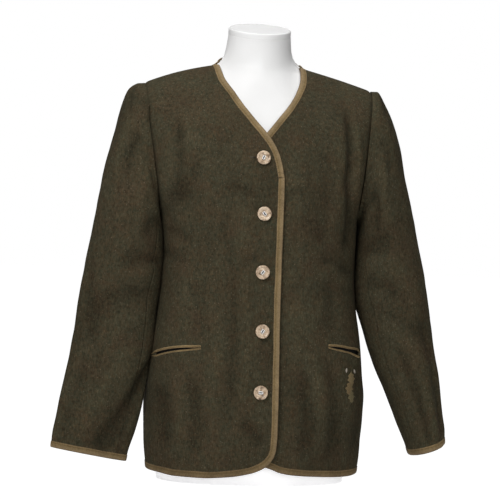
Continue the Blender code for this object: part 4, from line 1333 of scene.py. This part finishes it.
def form_ring(z):
    s = -np.cos(math.pi * np.arange(FORM_COUNT + 1) / FORM_COUNT)
    x = float(steady(FORM, 2, z)) + form_half(z) * s
    clear = FORM_DROP + FORM_NECK_DROP * smooth((104.0 - np.abs(x)) / 16.0)
    out = []
    for side in (-1, 1):
        full = float(steady(FORM, 3 if side < 0 else 4, z))
        edge = FORM_ARMHOLE * float(round_off(z - UNDERARM_Z + 20.0))
        full_depth = round_off(ridge(x) - z - clear) * full * bulge(s, min(edge / full, 1.0))
        depth = np.maximum(full_depth, FORM_THIN)
        line = np.stack([x, side * depth, np.full(x.shape, float(z))], axis=1)
        out.append(line[::-side])
    return np.concatenate(out)


def neck_ring(z, half, front, back, slope, left):
    out = []
    for side, reach in ((-1, front), (1, back)):
        a = math.pi * (0.01 + 0.98 * np.arange(FORM_COUNT + 1) / FORM_COUNT)
        x = -half * np.cos(a)
        x = np.where(x > 0.0, x * left, x)
        y = side * reach * np.sin(a)
        line = np.stack([x, y, z + slope * y], axis=1)
        out.append(line[::-side])
    return np.concatenate(out)


# Neck above the shoulders: height, half width, front, back, share of the tilt, share of the left half
NECK_TILT = math.radians(16.0)
NECK = (
    (709.0, 60.2, 47.5, 59.0, 0.0, 0.955),
    (714.0, 58.4, 47.2, 57.0, 0.06, 0.94),
    (720.0, 56.8, 47.0, 55.0, 0.18, 0.94),
    (728.0, 55.4, 47.6, 53.6, 0.38, 0.955),
    (738.0, 54.2, 49.0, 53.0, 0.62, 0.98),
    (747.0, 53.6, 50.4, 52.9, 0.86, 1.0),
    (753.7, 53.2, 51.4, 53.0, 1.0, 1.0),
)
# The neck runs softly into the shoulders between these heights
SOFT_LOW = 692.0
SOFT_HIGH = 742.0
heights = list(np.linspace(0.0, 560.0, 30)) + list(np.linspace(575.0, 655.0, 12))
heights += list(np.linspace(659.0, 700.0, 18))
rings = [form_ring(z) for z in heights]
for z, half, front, back, share, left in NECK:
    rings.append(neck_ring(z, half, front, back, math.tan(NECK_TILT) * share, left))
stack = np.array(rings)
level = stack[:, :, 2].mean(axis=1)
for _ in range(10):
    softer = (stack[:-2] + 2.0 * stack[1:-1] + stack[2:]) / 4.0
    share = ((level[1:-1] > SOFT_LOW) & (level[1:-1] < SOFT_HIGH))[:, None, None]
    stack[1:-1] = np.where(share, softer, stack[1:-1])
FORM_SHARP = math.radians(50.0)
faces = band_faces(len(stack), stack.shape[1])
torso = add_mesh("form_torso_white", stack.reshape(-1, 3), faces, white)
torso.data.set_sharp_from_angle(angle=FORM_SHARP)
stands_for(torso, "form_torso")

cap_axis = Vector((0.0, -math.sin(NECK_TILT), math.cos(NECK_TILT)))
cap_start = Vector((0.0, 0.8, 753.8)) - cap_axis * 0.5
cap_side = Vector((1.0, 0.0, 0.0))
# Outline of the cap: radius, height
CAP_PROFILE = (
    (0.0, 0.0), (52.6, 0.0), (53.0, 0.3), (53.1, 1.5), (53.1, 8.6), (52.8, 9.8), (52.0, 10.7),
    (50.8, 11.0), (48.5, 10.9), (0.0, 10.85),
)
CAP_SEGMENTS = 96
cap_axes = (cap_side, cap_axis.cross(cap_side), cap_axis)
verts, faces = lathe(cap_start, cap_axes, CAP_PROFILE, [1.0] * CAP_SEGMENTS)
cap = add_mesh("form_neck_cap_white", verts, faces, white)
cap.data.set_sharp_from_angle(angle=FORM_SHARP)
# the cap's upward faces take a darker copy of the white: painted shade, as the lights make the top too
# bright
cap.data.materials.append(white_material("form_white_top_painted_shade", 0.66))
for face in cap.data.polygons:
    if face.normal.z > 0.9:
        face.material_index = 1
stands_for(cap, "form_neck_cap")

# What rides on the part
for item in list(shown.values()) + extras:
    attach(item, "root")
for name, item in shown.items():
    if name.startswith("form"):
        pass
    elif name.startswith("button"):
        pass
    elif name.startswith("binding") or name.startswith("pocket"):
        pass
    else:
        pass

for hand in HANDS:
    front = shown["front_" + hand]


# Floor, light and camera
def camera_mix(tree, share, others, camera, end):
    """Lets the camera see one shader and all other rays another."""
    seen = tree.nodes.new("ShaderNodeLightPath")
    most = tree.nodes.new("ShaderNodeMath")
    most.operation = "MULTIPLY"
    most.inputs[1].default_value = share
    tree.links.new(seen.outputs["Is Camera Ray"], most.inputs[0])
    joined = tree.nodes.new("ShaderNodeMixShader")
    tree.links.new(most.outputs["Value"], joined.inputs[0])
    tree.links.new(others, joined.inputs[1])
    tree.links.new(camera, joined.inputs[2])
    tree.links.new(joined.outputs["Shader"], tree.nodes[end].inputs["Surface"])


FLOOR_HALF = 30000.0
FLOOR_GLOW = 1.08
FLOOR_GLOW_SHARE = 0.94
SKY_LIGHT = 0.14
floor_mat, ground, floor_shader = new_material("floor_white", 0.95)
put(floor_shader, Base_Color=(0.90, 0.90, 0.90, 1.0))
glow = ground.nodes.new("ShaderNodeEmission")
put(glow, Strength=FLOOR_GLOW)
lit = floor_shader.outputs["BSDF"]
camera_mix(ground, FLOOR_GLOW_SHARE, lit, glow.outputs["Emission"], "Material Output")
corners = []
for x, y in ((-1.0, -1.0), (1.0, -1.0), (1.0, 1.0), (-1.0, 1.0)):
    corners.append((x * FLOOR_HALF, y * FLOOR_HALF, 0.0))
add_mesh("floor", corners, [(0, 1, 2, 3)], floor_mat)

world = bpy.data.worlds.new("studio")
bpy.context.scene.world = world
world.use_nodes = True
sky = world.node_tree
bright = sky.nodes["Background"]
dim = sky.nodes.new("ShaderNodeBackground")
for background, strength in ((bright, 1.0), (dim, SKY_LIGHT)):
    put(background, Color=(1.0, 1.0, 1.0, 1.0), Strength=strength)
dim_light = dim.outputs["Background"]
camera_mix(sky, 1.0, dim_light, bright.outputs["Background"], "World Output")


def area_light(name, place, target, size, power):
    data = bpy.data.lights.new(name, "AREA")
    data.shape = "SQUARE"
    data.size = size
    data.energy = power
    item = bpy.data.objects.new(name, data)
    item.location = place
    item.rotation_euler = (Vector(target) - Vector(place)).to_track_quat("-Z", "Y").to_euler()
    bpy.context.scene.collection.objects.link(item)


# Places in metres, powers in watts
area_light("key", (-1.0, -1.6, 2.05), (0.0, 0.0, 0.5), 1.0, 44.0)
area_light("fill", (0.8, -3.2, 1.0), (0.0, 0.0, 0.4), 1.2, 21.0)
area_light("top", (0.2, 0.3, 2.8), (0.0, 0.0, 0.5), 1.0, 26.0)
area_light("rear", (0.5, 2.9, 1.6), (0.0, 0.0, 0.4), 1.4, 34.0)

# Camera: level with its target, turned to one side and rolled a little; places in metres
CAMERA_TURN = math.radians(7.0)
CAMERA_ROLL = math.radians(1.7)
CAMERA_FAR = 3.2
PICTURE_WIDE = 0.85
SENSOR_WIDE = 36.0
TARGET_ASIDE = -0.0055
TARGET_HEIGHT = 0.388
ahead = Vector((math.sin(CAMERA_TURN), math.cos(CAMERA_TURN), 0.0))
right = Vector((math.cos(CAMERA_TURN), -math.sin(CAMERA_TURN), 0.0))
up = Vector((0.0, 0.0, 1.0))
place = right * TARGET_ASIDE + up * TARGET_HEIGHT - ahead * CAMERA_FAR
cam_right = right * math.cos(CAMERA_ROLL) + up * math.sin(CAMERA_ROLL)
cam_up = up * math.cos(CAMERA_ROLL) - right * math.sin(CAMERA_ROLL)
columns = (cam_right, cam_up, -ahead, place)
matrix = Matrix([[v[i] for v in columns] for i in range(3)] + [[0.0, 0.0, 0.0, 1.0]])
cam_data = bpy.data.cameras.new("camera")
cam_data.sensor_width = SENSOR_WIDE
cam_data.lens = SENSOR_WIDE * CAMERA_FAR / PICTURE_WIDE
camera = bpy.data.objects.new("camera", cam_data)
camera.matrix_world = matrix
bpy.context.scene.collection.objects.link(camera)
bpy.context.scene.camera = camera
bpy.context.scene.view_settings.view_transform = "Standard"
